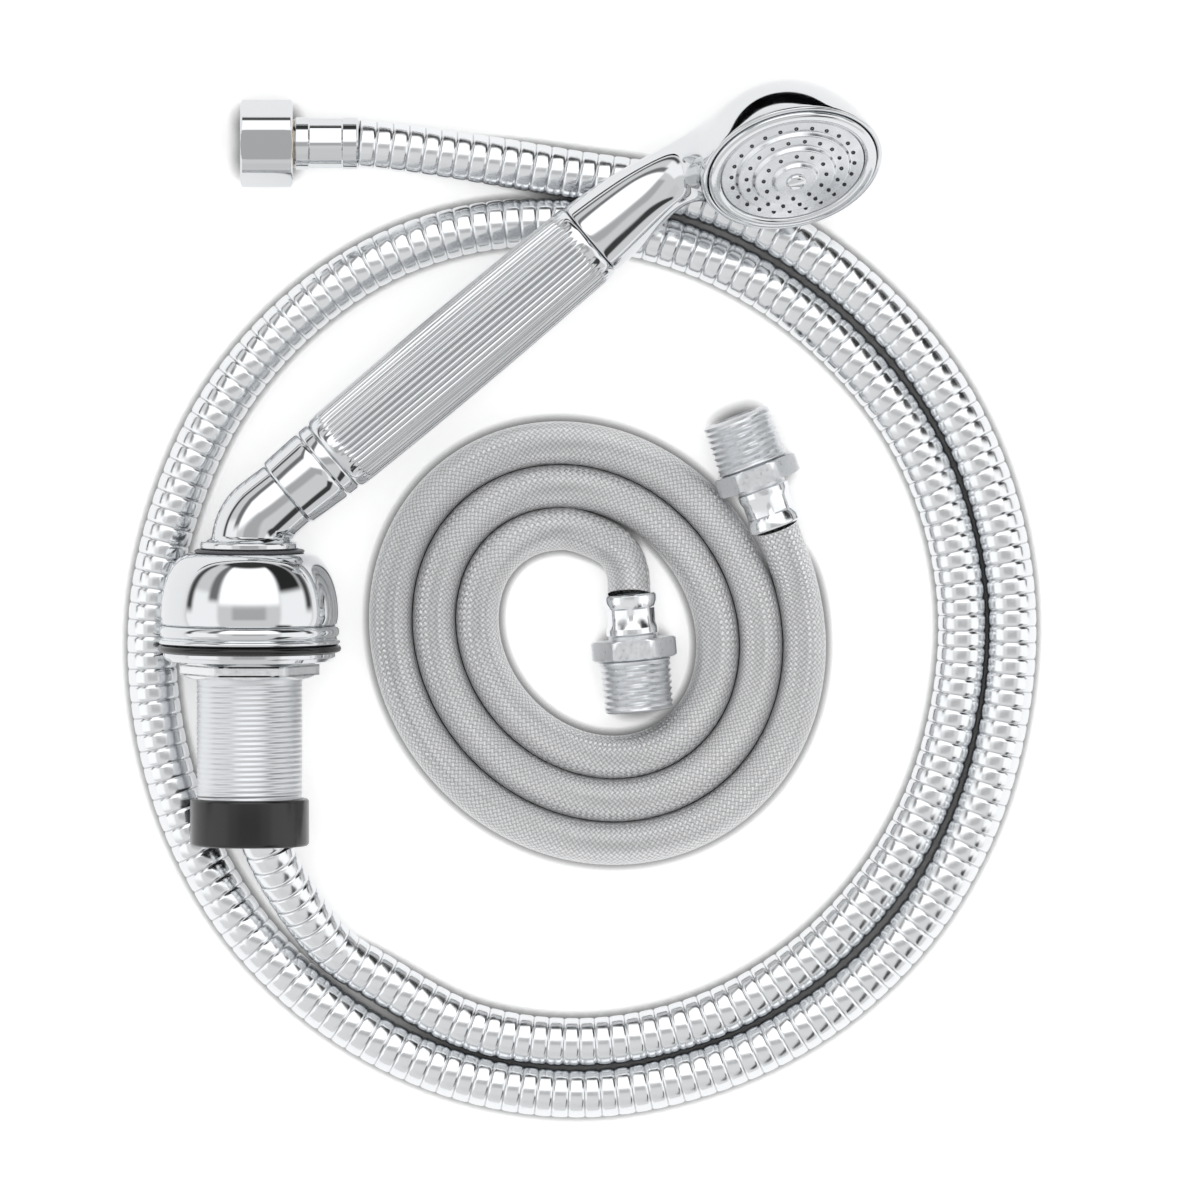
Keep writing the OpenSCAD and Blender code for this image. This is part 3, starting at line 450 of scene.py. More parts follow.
def wovenSteel(s):
    # Braided stainless wire: flat bundles that pass over and under each other on two slants, with painted shading:
    # white on their crowns, darker towards their edges
    material, tree, shader = startMaterial("stainlessBraid", {
        "Base Color": linear("#c6c8cb"), "Metallic": 1.0, "Roughness": 0.3})
    place = addNode(tree, "ShaderNodeUVMap", uv_map="braid").outputs[0]
    split = addNode(tree, "ShaderNodeSeparateXYZ", {"Vector": place})
    slants = [addNode(tree, "ShaderNodeMath", {
        0: split.outputs["X"], 1: split.outputs["Y"]}, operation=way).outputs[0] for way in ("ADD", "SUBTRACT")]
    crowns, cells = [], []
    for slant in slants:  # a bundle's crown goes from 0 at its edges to 1 in its middle
        phase = addNode(tree, "ShaderNodeMath", {0: slant, 1: 1.0}, operation="PINGPONG").outputs[0]
        crowns.append(addNode(tree, "ShaderNodeMath", {0: phase, 1: 0.5}, operation="POWER").outputs[0])
        pairs = addNode(tree, "ShaderNodeMath", {0: slant, 1: 0.5}, operation="MULTIPLY").outputs[0]
        cells.append(addNode(tree, "ShaderNodeMath", {0: pairs}, operation="FLOOR").outputs[0])
    checks = addNode(tree, "ShaderNodeMath", {0: cells[0], 1: cells[1]}, operation="ADD").outputs[0]
    over = addNode(tree, "ShaderNodeMath", {0: checks, 1: 1.0}, operation="PINGPONG").outputs[0]  # slant on top
    crown = addNode(tree, "ShaderNodeMix", {"Factor": over, "A": crowns[0], "B": crowns[1]}).outputs["Result"]
    slant = addNode(tree, "ShaderNodeMix", {"Factor": over, "A": slants[0], "B": slants[1]}).outputs["Result"]
    along = addNode(tree, "ShaderNodeMath", {0: slant, 1: s["wires"] * math.tau}, operation="MULTIPLY").outputs[0]
    wires = addNode(tree, "ShaderNodeMath", {0: along}, operation="SINE").outputs[0]
    height = addNode(tree, "ShaderNodeMath", {0: wires, 1: 0.12, 2: crown}, operation="MULTIPLY_ADD").outputs[0]
    # painted shading: each bundle's colour goes from the painted shade at its edges to white on its crown
    shade = addNode(tree, "ShaderNodeMix", {
        "Factor": crown, "A": linear(s["shade"]), "B": linear(s["colour"])}, data_type="RGBA").outputs["Result"]
    tree.links.new(shade, shader.inputs["Base Color"])
    bump = addNode(tree, "ShaderNodeBump", {"Height": height, "Strength": 0.8, "Distance": s["relief"] / 1000})
    tree.links.new(bump.outputs["Normal"], shader.inputs["Normal"])
    return material


def makeSupplyHose(s):
    tilt = math.radians(s["coilTilt"])
    coil = []
    for angle in s["coilAngles"]:
        grow = s["coilPitch"] * angle / 360
        a = math.radians(angle) - tilt
        x, y = (s["coilLong"] + grow) * math.cos(a), (s["coilShort"] + grow) * math.sin(a)
        coil.append((s["coilCentre"][0] + x * math.cos(tilt) - y * math.sin(tilt),
                     s["coilCentre"][1] + x * math.sin(tilt) + y * math.cos(tilt), s["coilHeight"]))
    route = [overFloor(*p) for p in [layout["innerEnd"], *s["leadIn"], *coil, layout["outerEnd"]]]
    a, b = math.radians(layout["innerHeading"]), math.radians(layout["outerHeading"])
    line = smoothLine(route, (-math.cos(a), -math.sin(a), 0), (math.cos(b), math.sin(b), 0), s["spacing"])
    long = runningLengths(line)[-1]
    bm = bmesh.new()
    ring = bmesh.ops.create_circle(bm, cap_ends=False, radius=s["radius"], segments=s["sides"],
                                   matrix=turn(90, "Y") @ turn(180 / s["sides"], "Z"))["verts"]
    edges = edgesOf(ring)
    rows = len(line) - 1
    for n in range(rows):
        edges = pushRing(bm, edges, (long / rows, 0, 0))
    bmesh.ops.recalc_face_normals(bm, faces=bm.faces)
    # braid coordinates: one unit is one bundle, along the hose and round it
    uv = bm.loops.layers.uv.new("braid")
    around = 4 * round(math.tau * s["radius"] / s["strand"] / 4)
    for f in bm.faces:
        turns = [math.atan2(l.vert.co.z, l.vert.co.y) / math.tau for l in f.loops]
        for l, t in zip(f.loops, turns):
            t += 1 if max(turns) - t > 0.5 else 0  # the seam
            l[uv].uv = (l.vert.co.x / s["strand"], t * around)
    layAlong(bm, line, long)
    piece = finishPiece("supplyHose", bm, Matrix(), wovenSteel(s), "deck_mount", ["supply_hose"], sharp=60)
    return piece, line, long


hosePiece, hoseLine, hoseLength = makeShowerHose(showerHose)
supplyPiece, supplyLine, supplyLength = makeSupplyHose(supplyHose)
print("hoses laid", round(hoseLength), round(supplyLength))

shank = {"radius": 15.6, "bore": 13.2, "foot": -50.0, "top": 27.5, "threadTop": -8.0, "pitch": 1.5, "depth": 0.32,
         "core": 14.5, "collar": 20.0, "collarLow": 8.0, "collarHigh": 10.6, "seatBore": 11.96, "seatLow": 17.5}


def makeShank(s):
    low = s["foot"] + 1
    rows = round((s["threadTop"] - s["foot"]) / s["pitch"] * 8)
    teeth = [(s["radius"], low + (s["threadTop"] - low) * i / rows) for i in range(rows + 1)]
    bm = lathe([(s["bore"], s["foot"]), (s["radius"], s["foot"]), *teeth,
                (s["radius"], s["collarLow"]), (s["collar"], s["collarLow"]),
                (s["collar"], s["collarHigh"]), (s["radius"], s["collarHigh"]), (s["radius"], s["top"]),
                (s["seatBore"], s["top"]), (s["seatBore"], s["seatLow"]), (s["bore"], s["seatLow"])], 72)
    cutThread(bm, s["pitch"], s["depth"], low, s["threadTop"], s["core"])
    finishPiece("threadedShank", bm, onShank, turnedSteel, "deck_mount", ["threaded_shank"], sharp=50)


makeShank(shank)

gasket = {"radius": 27.0, "thick": 4.0, "bore": 15.9, "rounding": 1.1, "shoulder": 25.2, "shoulderLow": 2.3}


def makeGasket(s):
    r = s["rounding"]
    turned("deckGasket", [(s["bore"], 0), *arc((s["radius"] - r, r), r, r, -90, 60, 12),
                          (s["shoulder"], s["shoulderLow"]), (s["shoulder"], s["thick"]), (s["bore"], s["thick"])],
           blackRubber, "deck_mount", "deck_gasket")


makeGasket(gasket)

baseRing = {"low": 4.05, "high": 7.95, "bore": 15.7, "lipBore": 25.25, "lipLow": 2.4,
            "lip": ((26.0, 3.15), 0.8, 0.75), "waist": (26.0, 4.2), "crown": ((25.4, 6.1), 1.1, 1.8)}


def makeBaseRing(s):  # its lip goes over the gasket's shoulder
    turned("baseRing", [(s["bore"], s["low"]), (s["lipBore"], s["low"]), (s["lipBore"], s["lipLow"]),
                        *arc(*s["lip"], -90, 80, 8), s["waist"], *arc(*s["crown"], -70, 90, 14),
                        (s["bore"], s["high"])], chromePlate, "deck_mount", "base_ring")


makeBaseRing(baseRing)

dome = {"low": 8.0, "height": 21.2, "waist": 0.16, "radius": 26.2, "swell": 0.3, "foot": 0.5, "footIn": (0.9, 0.35),
        "flatTop": 17.0, "wall": 1.6, "hole": 12.2}


def makeDome(s):
    low, top, foot = s["low"], s["low"] + s["height"], s["low"] + s["foot"]
    waist = low + s["waist"] * s["height"]
    side = [(s["radius"] - into, z) for into, z in zip(s["footIn"], (low, foot))]
    side += [(s["radius"] + s["swell"] * (math.sin(math.pi / 2 * i / 5) - 1), foot + (waist - foot) * i / 5)
             for i in range(1, 6)]
    shoulder = arc((s["flatTop"], waist), s["radius"] - s["flatTop"], top - waist, 2, 90, 28)
    inner = [(s["hole"], top), (s["hole"], top - s["wall"])]
    inner += [(x - s["wall"], z - s["wall"]) for x, z in reversed(shoulder[1:])]
    inner.append((s["radius"] - s["wall"] - s["swell"], low))
    turned("dome", side + shoulder + inner, chromePlate, "deck_mount", "dome", steps=128)


makeDome(dome)

frictionWasher = {"bore": 12.2, "radius": 16.2, "low": 29.2, "high": 30.2, "across": 0.4, "rise": 0.3}


def makeFrictionWasher(s):
    shy = s["radius"] - s["across"]
    turned("frictionWasher", [
        (s["bore"], s["low"]), (shy, s["low"]), (s["radius"], s["low"] + s["rise"]),
        (s["radius"], s["high"] - s["rise"]), (shy, s["high"]), (s["bore"], s["high"])],
        greyAcetal, "deck_mount", "friction_washer")


makeFrictionWasher(frictionWasher)

hoseGuide = {"radius": 17.5, "bore": 15.0, "socket": 15.7, "low": -57.0, "seat": -50.0, "high": -43.0,
             "lowRounding": 1.1, "highRounding": 0.9}


def makeHoseGuide(s):
    a, b = s["lowRounding"], s["highRounding"]
    turned("hoseGuide", [
        (s["bore"], s["low"]), *arc((s["radius"] - a, s["low"] + a), a, a, -90, 0, 6),
        *arc((s["radius"] - b, s["high"] - b), b, b, 0, 90, 6),
        (s["socket"], s["high"]), (s["socket"], s["seat"]), (s["bore"], s["seat"])],
        blackAbs, "deck_mount", "hose_guide")


makeHoseGuide(hoseGuide)

clampWasher = {"bore": 15.9, "radius": 25.4, "low": -2.6, "across": 1.1, "rise": 1.3}


def makeClampWasher(s):
    turned("clampWasher", [
        (s["bore"], s["low"]), (s["radius"] - s["across"], s["low"]), (s["radius"], s["low"] + s["rise"]),
        (s["radius"], 0), (s["bore"], 0)], chromePlate, "clamp", "clamp_washer", bevel=0.25)


makeClampWasher(clampWasher)

lockNut = {"flats": 36.2, "corner": 20.56, "low": -7.6, "high": -2.6, "chamfer": 2.6, "rows": 6, "turnBy": 0,
           "inside": [(15.66, -2.6), (15.66, -7.6)]}


def makeNut(name, s, place, material, body, node):
    corner, low, high, chamfer, rows = s["corner"], s["low"], s["high"], s["chamfer"], s["rows"]
    rise = 0.6 * chamfer  # about 30 degrees
    flank = [(corner - chamfer + chamfer * i / rows, low + rise * i / rows) for i in range(rows + 1)]
    flank += [(corner, low + (high - low) * i / 6) for i in range(1, 6)]
    flank += [(corner - chamfer * i / rows, high - rise + rise * i / rows) for i in range(rows + 1)]
    bm = lathe([*s["inside"], *flank])
    pressFlats(bm, 6, s["flats"], low, high, s["turnBy"])
    finishPiece(name, bm, place, material, body, [node], sharp=28, bevel=0.12)


makeNut("lockNut", lockNut, onShank, zincSteel, "nut", "lock_nut")
print("deck mount made")

elbow = {"bend": 11.5, "radius": 11.2, "sides": 64, "bore": 8.6, "footBore": 9.3, "spigot": 11.9,
         "spigotLength": 16.0, "flange": 14.4, "flangeY": 30.3, "flangeThick": 2.2, "edges": (0.5, 0.6),
         "fillet": (3.2, 2.7),
         "mouthRadius": 10.8, "mouth": 14.6, "socket": 9.75, "socketEnd": 7.6}


def makeElbowFoot(s):
    low, top = s["flangeY"], s["flangeY"] + s["flangeThick"]
    across, rise = s["fillet"]
    a, b = s["edges"]
    return lathe([
        (s["footBore"], low - s["spigotLength"]), (s["spigot"], low - s["spigotLength"]), (s["spigot"], low),
        (s["flange"] - 0.4, low), *arc((s["flange"] - a, low + a), a, a, -60, 0, 3),
        *arc((s["flange"] - b, top - b), b, b, 0, 80, 4),
        *arc((s["radius"] + across - 0.3, top + rise), across, rise, 268, 188, 10),
        (s["footBore"], top + rise - 0.5)])


def makeElbow(s):
    lean = math.radians(layout["lean"])
    bendY = layout["axisY"] - s["bend"] * math.tan(lean / 2)
    bm = bmesh.new()
    ring = bmesh.ops.create_circle(bm, cap_ends=False, radius=s["radius"], segments=s["sides"],
                                   matrix=move(0, bendY - 1, 0) @ turn(90, "X"))["verts"]
    edges = pushRing(bm, edgesOf(ring), (0, 1, 0))
    made = bmesh.ops.spin(bm, geom=vertsOf(edges) + edges, cent=(s["bend"], bendY, 0), axis=(0, 0, 1),
                          dvec=(0, 0, 0), angle=-lean, steps=20, use_merge=False, use_duplicate=False)
    edges = [g for g in made["geom_last"] if isinstance(g, bmesh.types.BMEdge)]
    along = Vector((math.sin(lean), math.cos(lean), 0))
    centre = Vector((0, layout["axisY"], 0))
    for at, radius in [(9, s["radius"] - 0.1), (s["mouth"] - 0.4, s["mouthRadius"]),
                       (s["mouth"], s["mouthRadius"] - 0.4), (s["mouth"], s["socket"]),
                       (s["socketEnd"], s["socket"]), (s["socketEnd"], s["bore"])]:
        edges = pushRing(bm, edges)
        for v in vertsOf(edges):
            off = v.co - centre
            v.co = centre + along * at + (off - along * off.dot(along)).normalized() * radius
    bmesh.ops.recalc_face_normals(bm, faces=bm.faces)
    foot = makeElbowFoot(s)
    foot.transform(onShank)
    footMesh = bpy.data.meshes.new("elbowFoot")
    foot.to_mesh(footMesh)
    foot.free()
    bm.from_mesh(footMesh)
    finishPiece("swivelElbow", bm, Matrix(), chromePlate, "holder", ["swivel_elbow"], sharp=40)


makeElbow(elbow)

hoseNut = {"low": 14.7, "high": 27.9, "lowRadius": 11.5, "highRadius": 12.05, "sleeve": 8.9, "sleeveLow": 8.0,
           "bore": 7.3, "thread": 10.26, "threadLow": 18.3, "rounding": 0.5, "rise": 12.0}


def makeHoseNut(s):
    grow = s["highRadius"] - s["lowRadius"]
    cone = [(s["lowRadius"] + grow * (i / 6) ** 0.8, s["low"] + s["rounding"] + s["rise"] * i / 6) for i in range(7)]
    turned("hoseNut", [
        (s["bore"], s["sleeveLow"]), (s["sleeve"] - 0.4, s["sleeveLow"]), (s["sleeve"], s["sleeveLow"] + 0.4),
        (s["sleeve"], s["low"]), (s["lowRadius"] - s["rounding"], s["low"]), *cone,
        (s["highRadius"] - 0.35, s["high"]), (s["thread"], s["high"]), (s["thread"], s["threadLow"]),
        (s["bore"], s["threadLow"])], chromePlate, "hose_cone", "hose_nut", place=onLean, bevel=0.2)


makeHoseNut(hoseNut)
print("elbow and hose nut made")

handleRing = {"low": 28.2, "high": 32.1, "radius": 12.05, "bore": 10.45, "rounding": 0.8}


def makeHandleRing(s):
    r = s["rounding"]
    turned("handleRing", [(s["bore"], s["low"]), *arc((s["radius"] - r, s["low"] + r), r, r, -90, 0, 6),
                          *arc((s["radius"] - r, s["high"] - r), r, r, 0, 90, 6), (s["bore"], s["high"])],
           chromedAbs, "hand_shower", "handle_ring", place=onShower)


makeHandleRing(handleRing)

grip = {"low": 32.1, "length": 98.4, "endRadius": 12.4, "belly": 0.6, "cuff": 3.2, "ribs": 44, "depth": 0.6,
        "bore": 10.85, "edge": 1.5, "edgeDepth": 0.8, "runOut": 2.0,
        "shape": (1.0, 0.45, 0.08, 0.0, 0.08, 0.45)}  # depth across one flute


def makeGrip(s):
    long, cuff, edge = s["length"], s["cuff"], s["edge"]
    heights = [0, 0.3, 0.8, edge, cuff, cuff + 0.7, cuff + 1.4, cuff + 2.2]
    heights += [long * k / 14 for k in range(1, 14)]
    heights += [long - h for h in reversed(heights[:8])]

    def radius(z):
        x = 2 * z / long - 1
        end = min(z, long - z)
        rounded = s["edgeDepth"] * (1 - end / edge) ** 2 if end < edge else 0
        return s["endRadius"] + s["belly"] * (1 - x * x) - rounded

    around = s["ribs"] * len(s["shape"])
    bm = lathe([(s["bore"], s["low"]), *[(radius(z), s["low"] + z) for z in heights],
                (s["bore"], s["low"] + long)], around)
    for v in bm.verts:
        z = v.co.z - s["low"]
        end = min(z, long - z)
        r = math.hypot(v.co.x, v.co.y)
        if end > cuff and r >= s["endRadius"] - 0.5:
            k = round(math.atan2(v.co.y, v.co.x) / math.tau * around) % len(s["shape"])
            setRadius(v, r - s["depth"] * s["shape"][k] * min(1, (end - cuff) / s["runOut"]) ** 0.5)
    finishPiece("flutedGrip", bm, onShower, chromedAbs, "hand_shower", ["grip"], sharp=60)


makeGrip(grip)

head = {
    "gripEnd": 130.5,
    "sprayFit": 0.944,  # the neck's sections, closer together than drawn here
    "backFit": 0.977,
    "spans": [  # spray side and back of each section: x and distance from the grip's end
        (11.9, 0, -11.9, 0), (12.1, 0.6, -12.1, 0.6), (12.05, 2, -12.05, 2),
        (11.8, 6, -11.75, 6), (11, 13.4, -11.1, 13), (10.2, 20.5, -9.9, 21.5), (9.9, 27, -7.9, 29.3),
        (11, 31.5, -4.6, 41), (13.4, 34.2, -0.9, 53.5), (16.3, 35.6, 3.4, 67), (18.7, 36.1, 8.8, 77.8),
        (20, 36, 16.5, 84.2), (20.8, 35.7, 27.5, 87.6)],
    "rims": [  # radius and height
        (27.0, 0.0), (26.8, 0.5), (25.6, 0.6), (25.25, 0.2), (25.25, -6.0), (23.3, -6.1)],
    "sides": 32,
}


def makeHead(s):
    bm = bmesh.new()
    angle = math.radians(layout["sprayAngle"] - 90)
    grown = 6 / (4 + 2 * math.cos(math.tau / s["sides"]))  # subdivision pulls a ring in by this much
    spans = [((p[0], s["gripEnd"] + s["sprayFit"] * p[1]), (p[2], s["gripEnd"] + s["backFit"] * p[3]))
             for p in s["spans"]]
    for radius, t in s["rims"]:
        middle = (layout["headOffset"] + t * math.cos(angle), layout["headReach"] - t * math.sin(angle))
        across = (radius * math.sin(angle), radius * math.cos(angle))
        spans.append(((middle[0] - across[0], middle[1] - across[1]),
                      (middle[0] + across[0], middle[1] + across[1])))
    before = None
    sideways = Vector((0, 1, 0))
    for a, b in spans:
        middle = Vector(((a[0] + b[0]) / 2, 0, (a[1] + b[1]) / 2))
        across = Vector((b[0] - a[0], 0, b[1] - a[1]))
        long = across.normalized()
        basis = Matrix((long, sideways, long.cross(sideways))).transposed()
        ring = bmesh.ops.create_circle(bm, cap_ends=False, radius=across.length / 2 * grown, segments=s["sides"],
                                       matrix=Matrix.Translation(middle) @ basis.to_4x4())["verts"]
        edges = edgesOf(ring)
        if before:
            bmesh.ops.bridge_loops(bm, edges=before + edges)
        else:
            bmesh.ops.contextual_create(bm, geom=edges)
        before = edges
    bmesh.ops.recalc_face_normals(bm, faces=bm.faces)
    finishPiece("headShell", bm, onShower, chromedAbs, "hand_shower", ["head_shell"], subdivide=2)


makeHead(head)

bezel = {"outer": 25.1, "inner": 21.5, "low": -2.4, "high": 1.6, "outerRounding": 1.1, "innerRounding": 1.0}


def makeBezel(s):
    a, b = s["outerRounding"], s["innerRounding"]
    turned("faceBezel", [(s["inner"], s["low"]), (s["outer"], s["low"]),
                         *arc((s["outer"] - a, s["high"] - a), a, a, 0, 90, 6),
                         *arc((s["inner"] + b, s["high"] - b), b, b, 90, 180, 6)],
           chromedAbs, "hand_shower", "face_bezel", place=onFace)


makeBezel(bezel)

sprayPlate = {
    "radius": 21.4, "hole": 1.6, "flange": 25.0, "flangeLow": -4.6, "flangeHigh": -2.4, "edge": 1.0, "step": 1.5,
    "terraces": (21.4, 16.7, 12.0, 6.4),
    "rounding": 0.5,
    "hollow": (0.55, 0.45),  # at the foot of each terrace
    "rings": ((18.4, 24, 0), (14.2, 18, 1), (9.4, 12, 2)),  # radius, count and terrace of the jets
    "tip": ((0.4, 0.3), (0.55, 0.3), (0.7, -0.05)),  # radius and height of a soft tip's outline
    "jet": 0.36,
    "jetDepth": 0.25,
}


def makePlate(s):
    profile = [(s["hole"], s["flangeLow"]), (s["flange"], s["flangeLow"]), (s["flange"], s["flangeHigh"]),
               (s["radius"], s["flangeHigh"])]
    across, rise = s["hollow"]
    r = s["rounding"]
    for i, radius in enumerate(s["terraces"]):
        z = s["edge"] + i * s["step"]
        if i:
            profile += arc((radius + 0.9, z - s["step"] + rise), across, rise, 270, 200, 3)
        profile += arc((radius - r, z - r), r, r, 10, 90, 5)
    profile.append((s["hole"], z))
    turned("sprayPlate", profile, satinAbs, "hand_shower", "spray_plate", place=onFace)


def makeTips(s):
    # a soft tip, which is a short cone round a hole, on every jet
    bm = bmesh.new()
    for radius, count, level in s["rings"]:
        z = s["edge"] + level * s["step"]
        for i in range(count):
            a = math.tau * (i + 0.5 * (level % 2)) / count
            x, y = radius * math.cos(a), radius * math.sin(a)
            jet = bmesh.ops.create_circle(bm, cap_ends=True, radius=s["jet"], segments=10,
                                          matrix=move(x, y, z - s["jetDepth"]))["verts"]
            edges = edgesOf(jet)
            for size, high in s["tip"]:
                edges = pushRing(bm, edges)
                for v in vertsOf(edges):
                    off = Vector((v.co.x - x, v.co.y - y, 0)).normalized() * size
                    v.co = Vector((x, y, z + high)) + off
    bmesh.ops.recalc_face_normals(bm, faces=bm.faces)
    finishPiece("sprayTips", bm, onFace, tipElastomer, "hand_shower", sharp=50)


makePlate(sprayPlate)
makeTips(sprayPlate)

faceScrew = {"radius": 1.5, "low": -12.6, "headRadius": 3.0, "headLow": 5.5, "headHigh": 6.75, "rounding": 1.1}


def makeScrew(s):
    r = s["rounding"]
    turned("faceScrew", [
        (0, s["low"]), (s["radius"], s["low"]), (s["radius"], s["headLow"]), (s["headRadius"], s["headLow"]),
        *arc((s["headRadius"] - r, s["headLow"] + 0.1), r, r, 0, 80, 5), (0, s["headHigh"])],
        chromePlate, "hand_shower", "face_screw", place=onFace, steps=48)


makeScrew(faceScrew)
print("hand shower made")

ferrule = {"radius": 7.75, "length": 19.0, "bore": 5.0, "edge": 0.6, "waistLow": 4.6, "waistHigh": 14.8,
           "waistDepth": 0.35, "jaws": 8, "flats": 14.24}


def makeEndFerrule(s):
    r, edge, long, low, high = s["radius"], s["edge"], s["length"], s["waistLow"], s["waistHigh"]
    waist = r - s["waistDepth"]
    bm = lathe([(s["bore"], 0), (r - edge, 0), (r, edge), (r, low), (waist, low + 0.4), (waist, high - 0.4),
                (r, high), (r, long - edge), (r - edge, long), (s["bore"], long)])
    pressFlats(bm, s["jaws"], s["flats"], low + 0.2, high - 0.2)
    return finishPiece("endFerrule", bm, atHoseEnd, chromePlate, "deck_mount", ["end_ferrule"],
                       sharp=30, bevel=0.1)


endFerrule = makeEndFerrule(ferrule)

endNut = {"flats": 24.0, "corner": 12.96, "low": 19.3, "high": 34.8, "chamfer": 1.0, "rows": 3, "turnBy": 30,
          "inside": [(9.4, 34.2), (9.4, 26.7), (9.9, 26.7), (9.9, 23.3), (7.21, 23.3), (7.21, 19.3)]}
makeNut("endNut", endNut, atHoseEnd, chromePlate, "hose_end_nut", "end_nut")

crimp = {
    "waist": 7.2, "length": 12.3, "bore": 4.7, "jaws": 8, "flats": 13.7,
    "mouth": [(0.4, 0), (0.8, 0.5), (0.8, 2.2), (0.2, 4.0), (0, 4.4)],  # out from the waist, and height
    "bead": [(0, 3.8), (0.45, 2.4), (0.5, 2.0), (0.5, 0.5), (0, 0)],  # out from the waist, and below the end
}


def makeCrimp(name, s, place, node):
    waist, long = s["waist"], s["length"]
    bm = lathe([(s["bore"], 0), *[(waist + out, z) for out, z in s["mouth"]],
                *[(waist + out, long - z) for out, z in s["bead"]], (s["bore"], long)], 72)
    pressFlats(bm, s["jaws"], s["flats"], s["mouth"][-1][1] - 0.2, long - s["bead"][0][1] + 0.2)
    return finishPiece(name, bm, place, drawnSteel, "deck_mount", [node], sharp=30, bevel=0.1)


fitting = {
    "flats": 22.0, "corner": 12.5, "hexLow": 13.3, "hexHigh": 19.1,
    "chamfer": [(0.8, 0), (0.4, 0.24), (0, 0.5)],  # in from the corners, and distance from the hexagon's face
    "thread": 10.6, "pitch": 1.81, "depth": 0.75, "core": 9.0, "taper": 1 / 32, "runOut": 0.6, "end": 34.7,
    "relief": 0.9, "endChamfer": 1.4, "neck": 7.2, "foot": 12.3, "smallBore": 3.0, "bore": 6.6, "boreLow": 16.3,
}


def makeFitting(name, s, place, node):
    low, high, pitch, runOut = s["hexHigh"], s["end"], s["pitch"], s["runOut"]
    rows = round((high - low) / pitch * 8)
    heights = [low + runOut + (high - low - 2 * runOut) * i / rows for i in range(rows + 1)]
    bm = lathe([
        (s["smallBore"], s["foot"]), (s["neck"], s["foot"]), (s["neck"], s["hexLow"]),
        *[(s["corner"] - into, s["hexLow"] + z) for into, z in s["chamfer"]], (s["corner"], (s["hexLow"] + low) / 2),
        *[(s["corner"] - into, low - z) for into, z in reversed(s["chamfer"])],
        (s["thread"] - s["relief"], low + 0.01), *[(s["thread"] - (z - low) * s["taper"], z) for z in heights],
        (s["thread"] - s["endChamfer"], high), (s["bore"], high), (s["bore"], s["boreLow"]),
        (s["smallBore"], s["boreLow"])])
    cutThread(bm, pitch, s["depth"], low + runOut / 2, high - runOut / 2, s["core"])
    pressFlats(bm, 6, s["flats"], s["hexLow"], low, 30)
    return finishPiece(name, bm, place, tumbledSteel, "deck_mount", [node])


supplyPieces = [
    makeCrimp("innerCrimp", crimp, atInner, "inner_ferrule"),
    makeFitting("innerFitting", fitting, atInner, "inner_fitting"),
    makeCrimp("outerCrimp", crimp, atOuter, "outer_ferrule"),
    makeFitting("outerFitting", fitting, atOuter, "outer_fitting"),
]
print("hose ends made")

# the pieces inside keep their own solids
insides = [
    (blackRubber, "swivel_seal", "nipple_seal", "tube_seal_low", "tube_seal_high", "face_seal", "end_seal"),
    (greyAcetal, "socket_liner", "flow_restrictor", "water_tube", "diffuser"),
    (stripSteel, "shank_hose", "elbow_hose", "socket_hose"),
    (castBrass, "hose_nipple", "end_stem"), (turnedSteel, "swivel_clip"), (chromePlate, "inlet_spigot"),
]
for material, *nodes in insides:
    for node in nodes:
        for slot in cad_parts[node].material_slots:
            slot.material = material

paperFloor = {
    "size": 6000.0, "centre": 100.0, "below": 0.05, "colour": "#f4f4f4", "lift": 0.4,
    "crevice": 4.5,  # how far from what lies on the paper it gets darker
    "creviceFall": 2.8,
}


def makeFloor(s):
    bm = bmesh.new()
    bmesh.ops.create_grid(bm, x_segments=1, y_segments=1, size=s["size"] / 2)
    material, tree = emptyMaterial("paperFloor")
    floor = finishPiece("floor", bm, move(s["centre"], 0, layout["floorZ"] - s["below"]), material, None)
    # painted shade: the paper's colour is darkened in the narrow crevices beside what lies on it, which get no light
    # from the sides
    beside = addNode(tree, "ShaderNodeAmbientOcclusion", {"Distance": s["crevice"] / 1000}, samples=8)
    crevice = addNode(tree, "ShaderNodeMath", {
        0: beside.outputs["AO"], 1: s["creviceFall"]}, operation="POWER").outputs[0]
    shade = addNode(tree, "ShaderNodeMix", {
        "Factor": crevice, "A": (0, 0, 0, 1), "B": linear(s["colour"])}, data_type="RGBA")
    paper = addNode(tree, "ShaderNodeBsdfDiffuse", {"Color": shade.outputs["Result"]})
    # seen by the camera or in a piece, the paper is lifted to white
    rays = addNode(tree, "ShaderNodeLightPath")
    seen = addNode(tree, "ShaderNodeMath", {
        0: rays.outputs["Is Camera Ray"], 1: rays.outputs["Is Glossy Ray"]}, operation="MAXIMUM")
    seen = addNode(tree, "ShaderNodeMath", {
        0: seen.outputs[0], 1: rays.outputs["Is Transmission Ray"]}, operation="MAXIMUM")
    lift = addNode(tree, "ShaderNodeMath", {0: seen.outputs[0], 1: s["lift"]}, operation="MULTIPLY")
    # the glow takes the same painted shade in the crevices
    lift = addNode(tree, "ShaderNodeMath", {0: lift.outputs[0], 1: crevice}, operation="MULTIPLY")
    glow = addNode(tree, "ShaderNodeEmission", {"Color": (1, 1, 1, 1), "Strength": lift.outputs[0]})
    both = addNode(tree, "ShaderNodeAddShader", {0: paper.outputs[0], 1: glow.outputs[0]})
    addNode(tree, "ShaderNodeOutputMaterial", {"Surface": both.outputs[0]})


makeFloor(paperFloor)

# a black card over the floor, beyond the far edge of the view, mirrored along the far rims of the chrome
card = {"colour": "#08080a", "centre": (120, 300), "halfWidth": 420, "halfDepth": 58, "above": 8.0}


